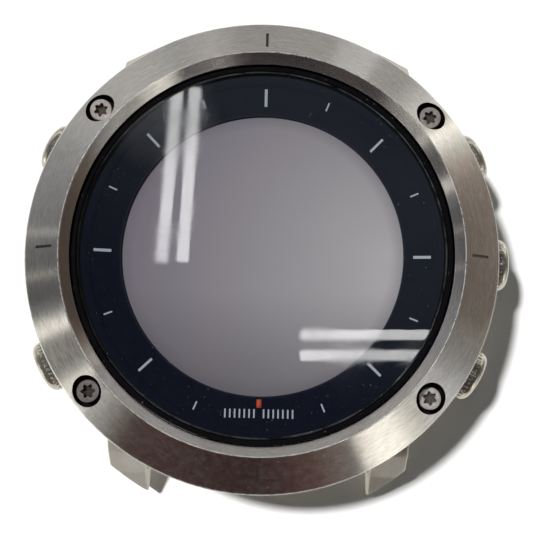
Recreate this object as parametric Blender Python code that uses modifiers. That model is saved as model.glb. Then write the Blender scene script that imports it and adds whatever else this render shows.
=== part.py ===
"""Wrist dive computer, head only, without its strap.

Frame: +Z out of the display, +Y towards 12 o'clock, +X towards 3 o'clock.
The origin is the centre of the flat outer face of the case back.
Every length below is in millimetres. MM turns it into Blender's metres.
"""

import math

import bmesh
import bpy
from mathutils import Matrix, Vector

MM = 0.001
GAP = 0.1  # clearance between pieces that sit in or on each other

# Sides of the faceted round pieces
RING_SIDES = 48
HOLE_SIDES = 16
PUSHER_SIDES = 16
BUSH_SIDES = 12

# Bezel: a cone from the rim up to a ridge, then a chamfer down to the crystal
BEZEL_R = 25.0
BEZEL_BOTTOM_Z = 11.9
RIM_Z = 13.6
RIDGE_R = 20.9
RIDGE_Z = 16.5
WINDOW_R = 20.0
WINDOW_Z = 15.2
BEZEL_LEDGE_Z = 13.7
BEZEL_INNER_R = 20.85

# Bezel screws
BEZEL_SCREW_R = 22.95
BEZEL_SCREW_CLOCK = (49.6, 130.0, 230.0, 310.4)  # degrees clockwise from 12 o'clock
BEZEL_SCREW_HEAD_R = 1.18
BEZEL_SCREW_HEAD_Z = 14.35
BEZEL_SCREW_SEAT_Z = 12.9
BEZEL_SCREW_TIP_Z = 8.8
COUNTERBORE_R = 1.65
SCREW_SHAFT_R = 0.65
SCREW_HOLE_R = 0.8
TORX_R = 0.62  # mean radius of the six-lobed recess
TORX_LOBE = 0.12
TORX_LOBES = 6
TORX_DEPTH = 0.6
TORX_FLOOR = 0.25  # metal left under the recess in a shallow head

# Case
DECK_Z = 11.8
DECK_R = 24.75
COLLAR_R = 20.75
COLLAR_BORE_R = 18.5
COLLAR_Z = 13.55
CAVITY_R = 17.6
SEAT_Z = 1.6
SEAT_R = 22.15
CASE_BOTTOM_Z = 0.9

# Horns that carry the strap, and the gap between them
HORN_INNER_X = 12.4
HORN_OUTER_X = 16.3
HORN_TIP_R = 23.0
HORN_TIP_Y = 6.6  # the tip is rounded about a point this far from the X axis
STRAP_WALL_Y = 19.4
STRAP_GAP_TOP_Z = 8.0
STRAP_BAR_R = 0.9
STRAP_BAR_Y = 22.6
STRAP_BAR_Z = 3.7
STRAP_BAR_DEPTH = 2.5
HORN_OUTLINE = (  # (distance from the X axis, height) round a horn seen from the side
    (17.2, 1.75),
    (20.2, 1.75),
    (21.2, 1.0),
    (24.4, 0.9),
    (25.8, 1.3),
    (26.2, 2.2),
    (25.8, 3.3),
    (23.7, 5.2),
    (21.0, 8.4),
    (17.2, 9.8),
)

# Pushers: along a radius of the case, so each length here is a distance from the case's axis
PUSHER_CLOCK = {"start": 62.6, "next": 90.0, "light": 118.0, "view": 242.0, "back": 297.4}
PUSHER_Z = 8.0
PUSHER_FACE = 26.9
CAP_R = 2.8
CAP_HOLLOW_R = 2.15
CAP_INNER_END = 23.9
CAP_HOLLOW_END = 25.2
POCKET_R = 3.0
POCKET_FLOOR = 22.9
STEM_R = 0.95
STEM_TIP = 16.6
CLIP_NECK_R = 0.65
CLIP_NECK = (17.2, 17.6)  # the stem's groove for its clip
CLIP_R = (0.74, 1.65)
CLIP_ENDS = (17.27, 17.52)
SLEEVE_R = 1.75
SLEEVE_BORE_R = 1.05
SLEEVE_ENDS = (17.75, 22.8)
SEAL_CENTRE = 20.0
SEAL_GROOVE_R = 1.52
SEAL_WIRE_R = 0.22
SPRING_R = 1.6
SPRING_WIRE_R = 0.17
SPRING_TURNS = 3.5
SPRING_POINTS = 8  # points of the wire's path in one turn

# Crystal and display stack
CRYSTAL_R = 19.3
CRYSTAL_Z = (13.9, 15.1)
GASKET_FOOT = 0.2  # thickness of the gasket's foot under the crystal
DIAL_OPENING_R = 14.95
DIAL_R = 18.4
DIAL_OPENING_Z = 12.95  # the ring is dished: its top rises from here
DIAL_RIM_Z = 13.75
DIAL_THICKNESS = 0.2
PANEL_R = 15.3
PANEL_Z = (12.1, 12.65)
BACKLIGHT_Z = (11.35, 12.0)
FRAME_R = 17.4
FRAME_BORE_R = 15.45
FRAME_Z = (10.35, 12.75)
FRAME_FLOOR_Z = 11.25

# Electronics
BOARD_R = 15.9
BOARD_Z = (9.3, 10.0)
SWITCH_FACE = 15.75  # distance of each switch's face from the case's axis
BATTERY_X = (-8.0, 13.0)
BATTERY_Y = (-11.0, 11.0)
BATTERY_Z = (2.6, 6.4)
MOTOR_X = -12.6
MOTOR_R = 4.0
SENSOR_Y = 14.3
SENSOR_R = 2.2
ANTENNA_R = (16.9, 17.2)
ANTENNA_Z = (7.2, 10.2)
ANTENNA_HALF_ANGLE = 35
FLEX_HALF_WIDTH = 4.0

# Charging contacts, on the 9 o'clock side
CONTACT_Z = 7.0
PIN_Y = (-3.0, -1.0, 1.0, 3.0)
PIN_R = 0.5
CARRIER_X = (-23.9, -21.5)
CARRIER_HALF_WIDTH = 4.4
CARRIER_HALF_HEIGHT = 1.3

# Case back
BACK_R = 22.0
BACK_Z = 1.5
BACK_FLAT_Y = 19.2
BACK_SCREW_R = 20.0
BACK_SCREW_CLOCK = (45, 135, 225, 315)
BACK_SCREW_HEAD_R = 1.1
BACK_SCREW_SEAT_Z = 0.85
BACK_SCREW_LENGTH = 4.4
BACK_FACE_R = 20.8
PORT_R = 1.2  # the water's way in to the depth sensor
GRILLE_R = 2.45
GRILLE_HOLES = 5
GRILLE_SEAT_R = 2.6
GRILLE_SEAT_Z = 0.75
BACK_SEAL_R = 18.4
BACK_SEAL_WIRE_R = 0.3

# Colour, roughness, metallic
FINISHES = {
    "bezel_steel": ((0.56, 0.54, 0.51), 0.32, 1.0),
    "case_steel": ((0.52, 0.51, 0.47), 0.38, 1.0),
    "screw_steel": ((0.62, 0.58, 0.56), 0.3, 1.0),
    "crystal": ((0.9, 0.92, 0.95), 0.03, 0.0),
    "black_rubber": ((0.02, 0.02, 0.022), 0.6, 0.0),
    "dial_print": ((0.015, 0.02, 0.035), 0.35, 0.0),
    "display": ((0.3, 0.29, 0.3), 0.3, 0.0),
    "white_plastic": ((0.7, 0.7, 0.68), 0.5, 0.0),
    "dark_plastic": ((0.04, 0.04, 0.045), 0.5, 0.0),
    "board_green": ((0.02, 0.12, 0.06), 0.45, 0.0),
    "tin": ((0.6, 0.6, 0.58), 0.35, 1.0),
    "gold": ((0.8, 0.6, 0.25), 0.25, 1.0),
    "battery_foil": ((0.35, 0.36, 0.38), 0.35, 0.8),
    "spring_steel": ((0.5, 0.5, 0.5), 0.3, 1.0),
    "polyimide": ((0.45, 0.22, 0.04), 0.4, 0.0),
}

PARTS = "wrist_dive_computer"
CUTTERS = "cutters"


def clear_scene():
    for obj in list(bpy.data.objects):
        bpy.data.objects.remove(obj, do_unlink=True)
    for name in (PARTS, CUTTERS):
        bpy.context.scene.collection.children.link(bpy.data.collections.new(name))


def finish_of(name):
    """The material of that name in FINISHES, made the first time it is asked for."""
    found = bpy.data.materials.get(name)
    if found:
        return found
    colour, roughness, metallic = FINISHES[name]
    made = bpy.data.materials.new(name)
    made.use_nodes = True
    shader = made.node_tree.nodes["Principled BSDF"]
    shader.inputs["Base Color"].default_value = (*colour, 1.0)
    shader.inputs["Roughness"].default_value = roughness
    shader.inputs["Metallic"].default_value = metallic
    made.diffuse_color = (*colour, 1.0)
    return made


def add_object(name, mesh, finish=None):
    """A part if it has a finish, and otherwise a cutter."""
    obj = bpy.data.objects.new(name, mesh)
    bpy.data.collections[PARTS if finish else CUTTERS].objects.link(obj)
    if finish:
        mesh.materials.append(finish_of(finish))
    else:
        obj.hide_render = True
        obj.display_type = "WIRE"
    return obj


def closed_mesh(bm):
    """Ends bm's making: one closed surface with its faces pointing out."""
    bmesh.ops.remove_doubles(bm, verts=bm.verts, dist=0.0001 * MM)
    bmesh.ops.recalc_face_normals(bm, faces=bm.faces)
    mesh = bpy.data.meshes.new("solid")
    bm.to_mesh(mesh)
    bm.free()
    return mesh


def baked(obj):
    """Swaps obj's mesh for what its modifiers make of it."""
    graph = bpy.context.evaluated_depsgraph_get()
    bm = bmesh.new()
    bm.from_mesh(bpy.data.meshes.new_from_object(obj.evaluated_get(graph)))
    materials = list(obj.data.materials)
    obj.modifiers.clear()
    obj.data = closed_mesh(bm)
    for material in materials:
        obj.data.materials.append(material)
    return obj


def turned(name, profile, finish=None, sides=RING_SIDES):
    """A body turned about its own Z from (radius, height) points.

    A profile that starts on the axis ends on it too. Any other profile is a loop.
    """
    count = len(profile)
    ends_on_axis = profile[0][0] == 0
    edges = [(i, (i + 1) % count) for i in range(count - ends_on_axis)]
    mesh = bpy.data.meshes.new(name)
    mesh.from_pydata([(r * MM, 0, z * MM) for r, z in profile], edges, [])
    obj = add_object(name, mesh, finish)
    screw = obj.modifiers.new("Turn", "SCREW")
    screw.steps = screw.render_steps = sides
    screw.use_merge_vertices = True
    screw.merge_threshold = 0.0001 * MM
    return baked(obj)


def disc(name, radius, heights, finish=None, sides=RING_SIDES):
    low, high = heights
    return turned(name, [(0, high), (radius, high), (radius, low), (0, low)], finish, sides)


def ring(name, bore, radius, heights, finish=None, sides=RING_SIDES):
    low, high = heights
    return turned(name, [(radius, high), (radius, low), (bore, low), (bore, high)], finish, sides)


def torus(name, radius, wire_radius, height, finish, sides, wire_sides=6):
    """A ring of round section, such as an O-ring."""
    section = []
    for i in range(wire_sides):
        angle = math.tau * i / wire_sides
        across = radius + wire_radius * math.cos(angle)
        section.append((across, height - wire_radius * math.sin(angle)))
    return turned(name, section, finish, sides)


def box(name, xs, ys, zs, finish=None, bevel=0.0):
    bm = bmesh.new()
    bmesh.ops.create_cube(bm, size=MM)
    spans = [high - low for low, high in (xs, ys, zs)]
    middle = Vector([(low + high) / 2 for low, high in (xs, ys, zs)]) * MM
    bmesh.ops.scale(bm, vec=spans, verts=bm.verts)
    bmesh.ops.translate(bm, vec=middle, verts=bm.verts)
    if bevel:
        bmesh.ops.bevel(bm, geom=bm.edges, offset=bevel * MM, segments=2, affect="EDGES")
    return add_object(name, closed_mesh(bm), finish)


def prism(name, outline, heights, finish=None):
    """A flat outline in X and Y, drawn out along Z between two heights."""
    low, high = heights
    curve = bpy.data.curves.new(name, "CURVE")
    curve.dimensions = "2D"
    curve.fill_mode = "BOTH"
    curve.extrude = (high - low) / 2 * MM
    spline = curve.splines.new("POLY")
    spline.points.add(len(outline) - 1)
    for point, (x, y) in zip(spline.points, outline):
        point.co = (x * MM, y * MM, 0, 1)
    spline.use_cyclic_u = True
    drawn = add_object(name, curve)
    graph = bpy.context.evaluated_depsgraph_get()
    bm = bmesh.new()
    bm.from_mesh(bpy.data.meshes.new_from_object(drawn.evaluated_get(graph)))
    bpy.data.objects.remove(drawn)
    bmesh.ops.translate(bm, vec=(0, 0, (low + high) / 2 * MM), verts=bm.verts)
    return add_object(name, closed_mesh(bm), finish)


def combine(obj, others, operation="DIFFERENCE"):
    """Cuts the others from obj, or joins them to it, and keeps the result as obj's mesh."""
    for other in others:
        step = obj.modifiers.new(other.name, "BOOLEAN")
        step.object = other
        step.operation = operation
    return baked(obj)


def on_clock(angle, radius):
    """The point at a clock angle, in degrees clockwise from 12 o'clock."""
    turn = math.radians(angle)
    return radius * math.sin(turn), radius * math.cos(turn)


def along_radius(obj, angle):
    """Lays obj's own Z along the case's radius at a clock angle, at the pushers' height."""
    obj.matrix_world = (
        Matrix.Translation((0, 0, PUSHER_Z * MM))
        @ Matrix.Rotation(math.radians(90 - angle), 4, "Z")
        @ Matrix.Rotation(math.radians(90), 4, "Y")
    )
    return obj


def placed(obj, x, y, z=0.0, flipped=False):
    turn = Matrix.Rotation(math.pi if flipped else 0, 4, "X")
    obj.matrix_world = Matrix.Translation(Vector((x, y, z)) * MM) @ turn
    return obj


def pin_cutter(name, x, y, radius, heights):
    return placed(disc(name, radius, heights, sides=HOLE_SIDES), x, y)


def stepped_cutter(name, x, y, radii, step_z, reach):
    """A hole of two radii, the first above step_z and the second below it."""
    upper, lower = radii
    low, high = reach
    profile = [(0, high), (upper, high), (upper, step_z), (lower, step_z), (lower, low), (0, low)]
    return placed(turned(name, profile, sides=HOLE_SIDES), x, y)


def torx_outline():
    """The six-lobed star of a screw's recess."""
    count = 2 * TORX_LOBES
    steps = [math.tau * i / count for i in range(count)]
    reach = [TORX_R + TORX_LOBE * math.cos(TORX_LOBES * a) for a in steps]
    return [(r * math.cos(a), r * math.sin(a)) for r, a in zip(reach, steps)]


def screw(name, head_radius, head_height, length):
    """A socket screw with its head's top face at its origin and its shank down -Z."""
    profile = [
        (0, 0),
        (head_radius - 0.1, 0),
        (head_radius, -0.1),
        (head_radius, -head_height),
        (SCREW_SHAFT_R, -head_height),
        (SCREW_SHAFT_R, -length + 0.3),
        (SCREW_SHAFT_R - 0.3, -length),
        (0, -length),
    ]
    body = turned(name, profile, "screw_steel", HOLE_SIDES)
    depth = min(TORX_DEPTH, head_height - TORX_FLOOR)
    return combine(body, [prism(f"{name}_recess", torx_outline(), (-depth, 1))])


def horn(clock_side, end):
    """One strap horn: a side outline drawn out in X and rounded at its tip.

    clock_side is the sign of the horn's X, and end the sign of its Y.
    """
    name = f"horn_{clock_side}_{end}"
    solid = prism(name, HORN_OUTLINE, (HORN_INNER_X - 0.5, HORN_OUTER_X))
    # the outline's (x, y) are the horn's (y, z), and its thickness runs along X
    axes = Matrix(((0, 0, clock_side, 0), (end, 0, 0, 0), (0, 1, 0, 0), (0, 0, 0, 1)))
    solid.data.transform(axes)
    bm = bmesh.new()
    bm.from_mesh(solid.data)
    solid.data = closed_mesh(bm)
    tip = disc(f"{name}_tip", HORN_TIP_R, (-1, 12))
    return combine(solid, [placed(tip, 0, end * HORN_TIP_Y)], "INTERSECT")


def pusher_bore(key, angle):
    """The stepped hole in the case for one pusher."""
    profile = [
        (0, 28),
        (POCKET_R, 28),
        (POCKET_R, POCKET_FLOOR),
        (SLEEVE_R + GAP, POCKET_FLOOR),
        (SLEEVE_R + GAP, 17),
        (0, 17),
    ]
    return along_radius(turned(f"{key}_bore", profile, sides=PUSHER_SIDES), angle)


def make_case():
    profile = [
        (22.3, CASE_BOTTOM_Z),
        (23.0, 1.5),
        (23.9, 4.0),
        (24.45, 6.6),
        (DECK_R, 9.2),
        (DECK_R, DECK_Z - 0.2),
        (DECK_R - 0.2, DECK_Z),
        (COLLAR_R, DECK_Z),
        (COLLAR_R, COLLAR_Z),
        (COLLAR_BORE_R, COLLAR_Z),
        (COLLAR_BORE_R, DECK_Z),
        (CAVITY_R, DECK_Z - 0.3),
        (CAVITY_R, SEAT_Z),
        (BACK_SEAL_R - 0.35, SEAT_Z),
        (BACK_SEAL_R - 0.35, SEAT_Z + 0.65),
        (BACK_SEAL_R + 0.35, SEAT_Z + 0.65),
        (BACK_SEAL_R + 0.35, SEAT_Z),
        (SEAT_R, SEAT_Z),
        (SEAT_R, CASE_BOTTOM_Z),
    ]
    case = turned("mid_case", profile, "case_steel")
    combine(case, [horn(side, end) for side in (-1, 1) for end in (-1, 1)], "UNION")
    cutters = []
    for end in (-1, 1):
        ys = sorted((end * STRAP_WALL_Y, end * 30))
        cutters.append(box("strap_gap", (-HORN_INNER_X, HORN_INNER_X), ys, (-1, STRAP_GAP_TOP_Z)))
        for side in (-1, 1):
            reach = sorted((side * 11, side * (HORN_INNER_X + STRAP_BAR_DEPTH)))
            hole = disc("bar_hole", STRAP_BAR_R, reach, sides=HOLE_SIDES)
            place = Vector((0, end * STRAP_BAR_Y, STRAP_BAR_Z)) * MM
            hole.matrix_world = Matrix.Translation(place) @ Matrix.Rotation(math.pi / 2, 4, "Y")
            cutters.append(hole)
    cutters += [pusher_bore(key, angle) for key, angle in PUSHER_CLOCK.items()]
    for angle in BEZEL_SCREW_CLOCK:
        x, y = on_clock(angle, BEZEL_SCREW_R)
        cutters.append(pin_cutter("thread", x, y, SCREW_HOLE_R, (BEZEL_SCREW_TIP_Z - 0.6, 12)))
    for angle in BACK_SCREW_CLOCK:
        x, y = on_clock(angle, BACK_SCREW_R)
        cutters.append(pin_cutter("back_thread", x, y, SCREW_HOLE_R, (1, 5)))
    cutters.append(
        box(
            "carrier_pocket",
            (-26, CARRIER_X[1] + GAP),
            (-CARRIER_HALF_WIDTH - GAP, CARRIER_HALF_WIDTH + GAP),
            (CONTACT_Z - CARRIER_HALF_HEIGHT - GAP, CONTACT_Z + CARRIER_HALF_HEIGHT + GAP),
        )
    )
    cutters += [contact_pin("pin_hole", y, PIN_R + GAP, (17, 22), None) for y in PIN_Y]
    combine(case, cutters)


def contact_pin(name, y, radius, reach, finish):
    """A round pin across the 9 o'clock wall, between two distances from the plane X = 0."""
    pin = disc(name, radius, reach, finish, sides=HOLE_SIDES)
    place = Vector((0, y, CONTACT_Z)) * MM
    pin.matrix_world = Matrix.Translation(place) @ Matrix.Rotation(-math.pi / 2, 4, "Y")
    return pin


def make_bezel():
    profile = [
        (BEZEL_R - 0.12, BEZEL_BOTTOM_Z),
        (BEZEL_R, BEZEL_BOTTOM_Z + 0.12),
        (BEZEL_R, RIM_Z - 0.1),
        (BEZEL_R - 0.12, RIM_Z + 0.11),
        (RIDGE_R + 0.12, RIDGE_Z - 0.11),
        (RIDGE_R, RIDGE_Z),
        (RIDGE_R - 0.12, RIDGE_Z - 0.11),
        (WINDOW_R + 0.05, WINDOW_Z),
        (WINDOW_R, WINDOW_Z - 0.1),
        (WINDOW_R, BEZEL_LEDGE_Z),
        (BEZEL_INNER_R, BEZEL_LEDGE_Z),
        (BEZEL_INNER_R, BEZEL_BOTTOM_Z),
    ]
    bezel = turned("bezel", profile, "bezel_steel")
    cutters = []
    for angle in BEZEL_SCREW_CLOCK:
        x, y = on_clock(angle, BEZEL_SCREW_R)
        radii = (COUNTERBORE_R, SCREW_HOLE_R)
        cutters.append(stepped_cutter("pocket", x, y, radii, BEZEL_SCREW_SEAT_Z, (11, 18)))
    combine(bezel, cutters)
    for number, angle in enumerate(BEZEL_SCREW_CLOCK, 1):
        head = BEZEL_SCREW_HEAD_Z - BEZEL_SCREW_SEAT_Z - GAP
        length = BEZEL_SCREW_HEAD_Z - BEZEL_SCREW_TIP_Z
        made = screw(f"bezel_screw_{number}", BEZEL_SCREW_HEAD_R, head, length)
        placed(made, *on_clock(angle, BEZEL_SCREW_R), BEZEL_SCREW_HEAD_Z)


def make_window():
    low, high = CRYSTAL_Z
    bevel = (CRYSTAL_R - 0.3, high), (CRYSTAL_R, high - 0.25)
    profile = [(0, high), *bevel, (CRYSTAL_R, low), (0, low)]
    turned("crystal", profile, "crystal")
    wall = (CRYSTAL_R + GAP, WINDOW_R - GAP)
    foot_z = COLLAR_Z + GAP
    section = [
        (wall[1], high - 0.3),
        (wall[1], foot_z),
        (DIAL_R + GAP, foot_z),
        (DIAL_R + GAP, foot_z + GASKET_FOOT),
        (wall[0], foot_z + GASKET_FOOT),
        (wall[0], high - 0.3),
    ]
    turned("crystal_gasket", section, "black_rubber")
    dish = [
        (DIAL_R, DIAL_RIM_Z),
        (DIAL_R, DIAL_RIM_Z - DIAL_THICKNESS),
        (DIAL_OPENING_R, DIAL_OPENING_Z - DIAL_THICKNESS),
        (DIAL_OPENING_R, DIAL_OPENING_Z),
    ]
    turned("dial_ring", dish, "dial_print")
    disc("display_panel", PANEL_R, PANEL_Z, "display")
    disc("backlight_plate", PANEL_R, BACKLIGHT_Z, "white_plastic")


def make_display_frame():
    """The cup that holds the display, and the ribbon that leaves it at 6 o'clock."""
    low, high = FRAME_Z
    profile = [
        (0, FRAME_FLOOR_Z),
        (FRAME_BORE_R, FRAME_FLOOR_Z),
        (FRAME_BORE_R, high),
        (FRAME_R, high),
        (FRAME_R, low),
        (0, low),
    ]
    frame = turned("display_frame", profile, "dark_plastic")
    half = FLEX_HALF_WIDTH + 0.5
    notch = box("ribbon_notch", (-half, half), (-18, -16.3), (10, 13))
    slot = box("ribbon_slot", (-half, half), (-16.6, -15), (11.8, 13))
    combine(frame, [notch, slot])
    outline = [
        (-15.5, 12.45),
        (-16.85, 12.45),
        (-16.85, 10.1),
        (-14.5, 10.1),
        (-14.5, 10.22),
        (-16.73, 10.22),
        (-16.73, 12.33),
        (-15.5, 12.33),
    ]
    ribbon = prism("display_ribbon", outline, (-FLEX_HALF_WIDTH, FLEX_HALF_WIDTH), "polyimide")
    # the outline's (x, y) are the ribbon's (y, z), and its width runs along X
    ribbon.data.transform(Matrix(((0, 0, 1, 0), (1, 0, 0, 0), (0, 1, 0, 0), (0, 0, 0, 1))))


def make_board():
    low, high = BOARD_Z
    board = disc("circuit_board", BOARD_R, BOARD_Z, "board_green")
    chips = [
        box("chip_a", (-9, -3), (4, 10), (high - 0.2, high + 0.25)),
        box("chip_b", (2, 9), (-8, -3), (high - 0.2, high + 0.2)),
    ]
    for key, angle in PUSHER_CLOCK.items():
        switch = box(f"{key}_switch", (-0.8, low + 0.1 - PUSHER_Z), (-2, 2), (13.5, SWITCH_FACE))
        # the switch's own Z runs out along the radius, so its own -X is up
        switch.data.transform(Matrix.Rotation(math.pi, 4, "Z"))
        chips.append(along_radius(switch, angle))
    combine(board, chips, "UNION")
    can = box("board_shield", (-6, 6), (-5, 5), (low - 1.5, low - GAP), "tin")
    inside = box("shield_inside", (-5.8, 5.8), (-4.8, 4.8), (low - 1.3, low))
    combine(can, [inside])


def make_innards():
    box("battery", BATTERY_X, BATTERY_Y, BATTERY_Z, "battery_foil", bevel=0.9)
    low = BATTERY_Z[0]
    placed(disc("vibration_motor", MOTOR_R, (low, low + 2.6), "tin", 24), MOTOR_X, 0)
    placed(disc("buzzer", 7, (BACK_Z + 0.2, BACK_Z + 0.5), "gold", 24), 2.5, 0)
    placed(disc("pressure_sensor", SENSOR_R, (2.15, 4.6), "tin", 20), 0, SENSOR_Y)
    placed(torus("sensor_seal", 1.5, 0.22, 1.85, "black_rubber", 20), 0, SENSOR_Y)
    half = [ANTENNA_HALF_ANGLE * (i / 6 - 1) for i in range(13)]
    inner = [on_clock(angle, ANTENNA_R[0]) for angle in half]
    outer = [on_clock(angle, ANTENNA_R[1]) for angle in reversed(half)]
    prism("gps_antenna", inner + outer, ANTENNA_Z, "gold")


def make_contacts():
    carrier = box(
        "contact_carrier",
        CARRIER_X,
        (-CARRIER_HALF_WIDTH, CARRIER_HALF_WIDTH),
        (CONTACT_Z - CARRIER_HALF_HEIGHT, CONTACT_Z + CARRIER_HALF_HEIGHT),
        "dark_plastic",
    )
    combine(carrier, [contact_pin("carrier_hole", y, PIN_R + GAP, (21, 25), None) for y in PIN_Y])
    for number, y in enumerate(PIN_Y, 1):
        contact_pin(f"charge_pin_{number}", y, PIN_R, (16.8, 24.0), "gold")


def make_back():
    profile = [
        (0, BACK_Z),
        (BACK_R - 0.15, BACK_Z),
        (BACK_R, BACK_Z - 0.15),
        (BACK_R, 0.7),
        (BACK_FACE_R, 0),
        (0, 0),
    ]
    back = turned("case_back", profile, "case_steel")
    cutters = []
    for end in (-1, 1):
        ys = sorted((end * BACK_FLAT_Y, end * 25))
        cutters.append(box("flat", (-25, 25), ys, (-1, 3)))
    radii = (PORT_R, GRILLE_SEAT_R)
    cutters.append(stepped_cutter("port", 0, SENSOR_Y, radii, GRILLE_SEAT_Z, (-1, 3)))
    for angle in BACK_SCREW_CLOCK:
        x, y = on_clock(angle, BACK_SCREW_R)
        radii = (SCREW_HOLE_R, BACK_SCREW_HEAD_R + 2 * GAP)
        cutters.append(stepped_cutter("pocket", x, y, radii, BACK_SCREW_SEAT_Z, (-1, 3)))
    combine(back, cutters)
    torus("back_seal", BACK_SEAL_R, BACK_SEAL_WIRE_R, SEAT_Z + 0.27, "black_rubber", RING_SIDES)
    grille = disc("sensor_grille", GRILLE_R, (0.1, 0.6), "case_steel", 24)
    turns = [360 * i / GRILLE_HOLES for i in range(GRILLE_HOLES)]
    holes = [pin_cutter("vent", *on_clock(turn, 1.3), 0.35, (-1, 2)) for turn in turns]
    placed(combine(grille, holes), 0, SENSOR_Y)
    for number, angle in enumerate(BACK_SCREW_CLOCK, 1):
        head = BACK_SCREW_SEAT_Z - 2 * GAP
        made = screw(f"back_screw_{number}", BACK_SCREW_HEAD_R, head, BACK_SCREW_LENGTH)
        placed(made, *on_clock(angle, BACK_SCREW_R), GAP, flipped=True)


def spring(name, reach):
    """A helical spring about its own Z, between the two heights of reach."""
    low = reach[0] + SPRING_WIRE_R
    high = reach[1] - SPRING_WIRE_R
    count = int(SPRING_TURNS * SPRING_POINTS)
    curve = bpy.data.curves.new(name, "CURVE")
    curve.dimensions = "3D"
    curve.bevel_depth = SPRING_WIRE_R * MM
    curve.bevel_resolution = 0
    curve.use_fill_caps = True
    spline = curve.splines.new("POLY")
    spline.points.add(count)
    for i, point in enumerate(spline.points):
        angle = math.tau * i / SPRING_POINTS
        height = low + (high - low) * i / count
        x = SPRING_R * math.cos(angle)
        y = SPRING_R * math.sin(angle)
        point.co = (x * MM, y * MM, height * MM, 1)
    curve.materials.append(finish_of("spring_steel"))
    obj = bpy.data.objects.new(name, curve)
    bpy.data.collections[PARTS].objects.link(obj)
    return obj


def make_pusher(key, angle):
    cap = [
        (0, PUSHER_FACE),
        (CAP_R - 0.8, PUSHER_FACE),
        (CAP_R - 0.25, PUSHER_FACE - 0.25),
        (CAP_R, PUSHER_FACE - 0.8),
        (CAP_R, CAP_INNER_END),
        (CAP_HOLLOW_R, CAP_INNER_END),
        (CAP_HOLLOW_R, CAP_HOLLOW_END),
        (STEM_R, CAP_HOLLOW_END),
        (STEM_R, CLIP_NECK[1]),
        (CLIP_NECK_R, CLIP_NECK[1]),
        (CLIP_NECK_R, CLIP_NECK[0]),
        (STEM_R, CLIP_NECK[0]),
        (STEM_R, STEM_TIP + 0.15),
        (STEM_R - 0.15, STEM_TIP),
        (0, STEM_TIP),
    ]
    along_radius(turned(f"pusher_{key}", cap, "case_steel", PUSHER_SIDES), angle)
    inner, outer = SLEEVE_ENDS
    groove = (SEAL_CENTRE - 0.35, SEAL_CENTRE + 0.35)
    sleeve = [
        (SLEEVE_R, outer),
        (SLEEVE_R, inner),
        (SLEEVE_BORE_R, inner),
        (SLEEVE_BORE_R, groove[0]),
        (SEAL_GROOVE_R, groove[0]),
        (SEAL_GROOVE_R, groove[1]),
        (SLEEVE_BORE_R, groove[1]),
        (SLEEVE_BORE_R, outer),
    ]
    along_radius(turned(f"sleeve_{key}", sleeve, "screw_steel", BUSH_SIDES), angle)
    seal_radius = SEAL_GROOVE_R - SEAL_WIRE_R - 0.03
    seal = torus(f"seal_{key}", seal_radius, SEAL_WIRE_R, SEAL_CENTRE, "black_rubber", BUSH_SIDES)
    along_radius(seal, angle)
    clip = ring(f"clip_{key}", *CLIP_R, CLIP_ENDS, "spring_steel", BUSH_SIDES)
    combine(clip, [box("clip_mouth", (0, 3), (-0.45, 0.45), (16, 18))])
    along_radius(clip, angle)
    reach = (SLEEVE_ENDS[1] + 0.05, CAP_HOLLOW_END - 0.05)
    along_radius(spring(f"spring_{key}", reach), angle)


def main():
    clear_scene()
    make_case()
    make_bezel()
    make_window()
    make_display_frame()
    make_board()
    make_innards()
    make_contacts()
    make_back()
    for key, angle in PUSHER_CLOCK.items():
        make_pusher(key, angle)


main()
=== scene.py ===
"""Looks of the wrist dive computer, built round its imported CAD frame.

Frame: +Z out of the display, +Y towards 12 o'clock, +X towards 3 o'clock.
Lengths are in millimetres unless a name says otherwise. MM turns them into Blender's metres.
"""

import math

import bmesh
import bpy
from mathutils import Matrix, Vector


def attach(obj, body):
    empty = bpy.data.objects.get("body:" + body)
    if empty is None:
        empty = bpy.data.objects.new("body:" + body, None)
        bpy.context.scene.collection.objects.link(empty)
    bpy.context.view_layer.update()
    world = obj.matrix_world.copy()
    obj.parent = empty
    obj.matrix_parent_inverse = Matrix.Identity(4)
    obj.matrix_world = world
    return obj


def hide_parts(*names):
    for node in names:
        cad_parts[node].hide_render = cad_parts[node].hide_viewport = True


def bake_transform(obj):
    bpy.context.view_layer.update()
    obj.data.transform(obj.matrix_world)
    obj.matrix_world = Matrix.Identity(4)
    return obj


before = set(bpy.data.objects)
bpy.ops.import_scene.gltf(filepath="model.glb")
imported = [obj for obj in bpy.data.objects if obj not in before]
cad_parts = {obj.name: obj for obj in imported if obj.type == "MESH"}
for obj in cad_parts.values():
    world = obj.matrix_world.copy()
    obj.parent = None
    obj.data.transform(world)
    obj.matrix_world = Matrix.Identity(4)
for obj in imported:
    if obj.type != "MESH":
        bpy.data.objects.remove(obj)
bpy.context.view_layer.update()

MM = 0.001
FINE = 288  # sides of the big round pieces
MEDIUM = 96
SMALL = 48
CREASE = math.radians(32)  # edges sharper than this stay crisp
NEARLY = 0.02  # points closer than this are one point

# Bezel
BEZEL_R = 25.0
BEZEL_BOTTOM_Z = 11.9
RIM_Z = 13.6
RIDGE_R = 20.9
RIDGE_Z = 16.5
WINDOW_R = 20.0
WINDOW_Z = 15.2
LEDGE_Z = 13.7
BEZEL_INNER_R = 20.85
SCREW_CIRCLE_R = 22.95
SCREW_CLOCK = (49.6, 130.0, 230.0, 310.4)
POCKET_R = 1.65
POCKET_FLOOR_Z = 12.9
HEAD_Z = 14.35
SHAFT_HOLE_R = 0.8
SCREW_TIP_Z = 8.8
INDEX_R = (21.65, 23.6)
INDEX_WIDTH = 0.28
INDEX_DEPTH = 0.12
WORN_INDEX_DEPTH = 0.04

# Screws
HEAD_R = 1.18
SHAFT_R = 0.65
STAR_R = 0.62
STAR_LOBE = 0.12
STAR_DEPTH = 0.55
SCREW_TURNS = (12, 38, 5, 24)

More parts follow.
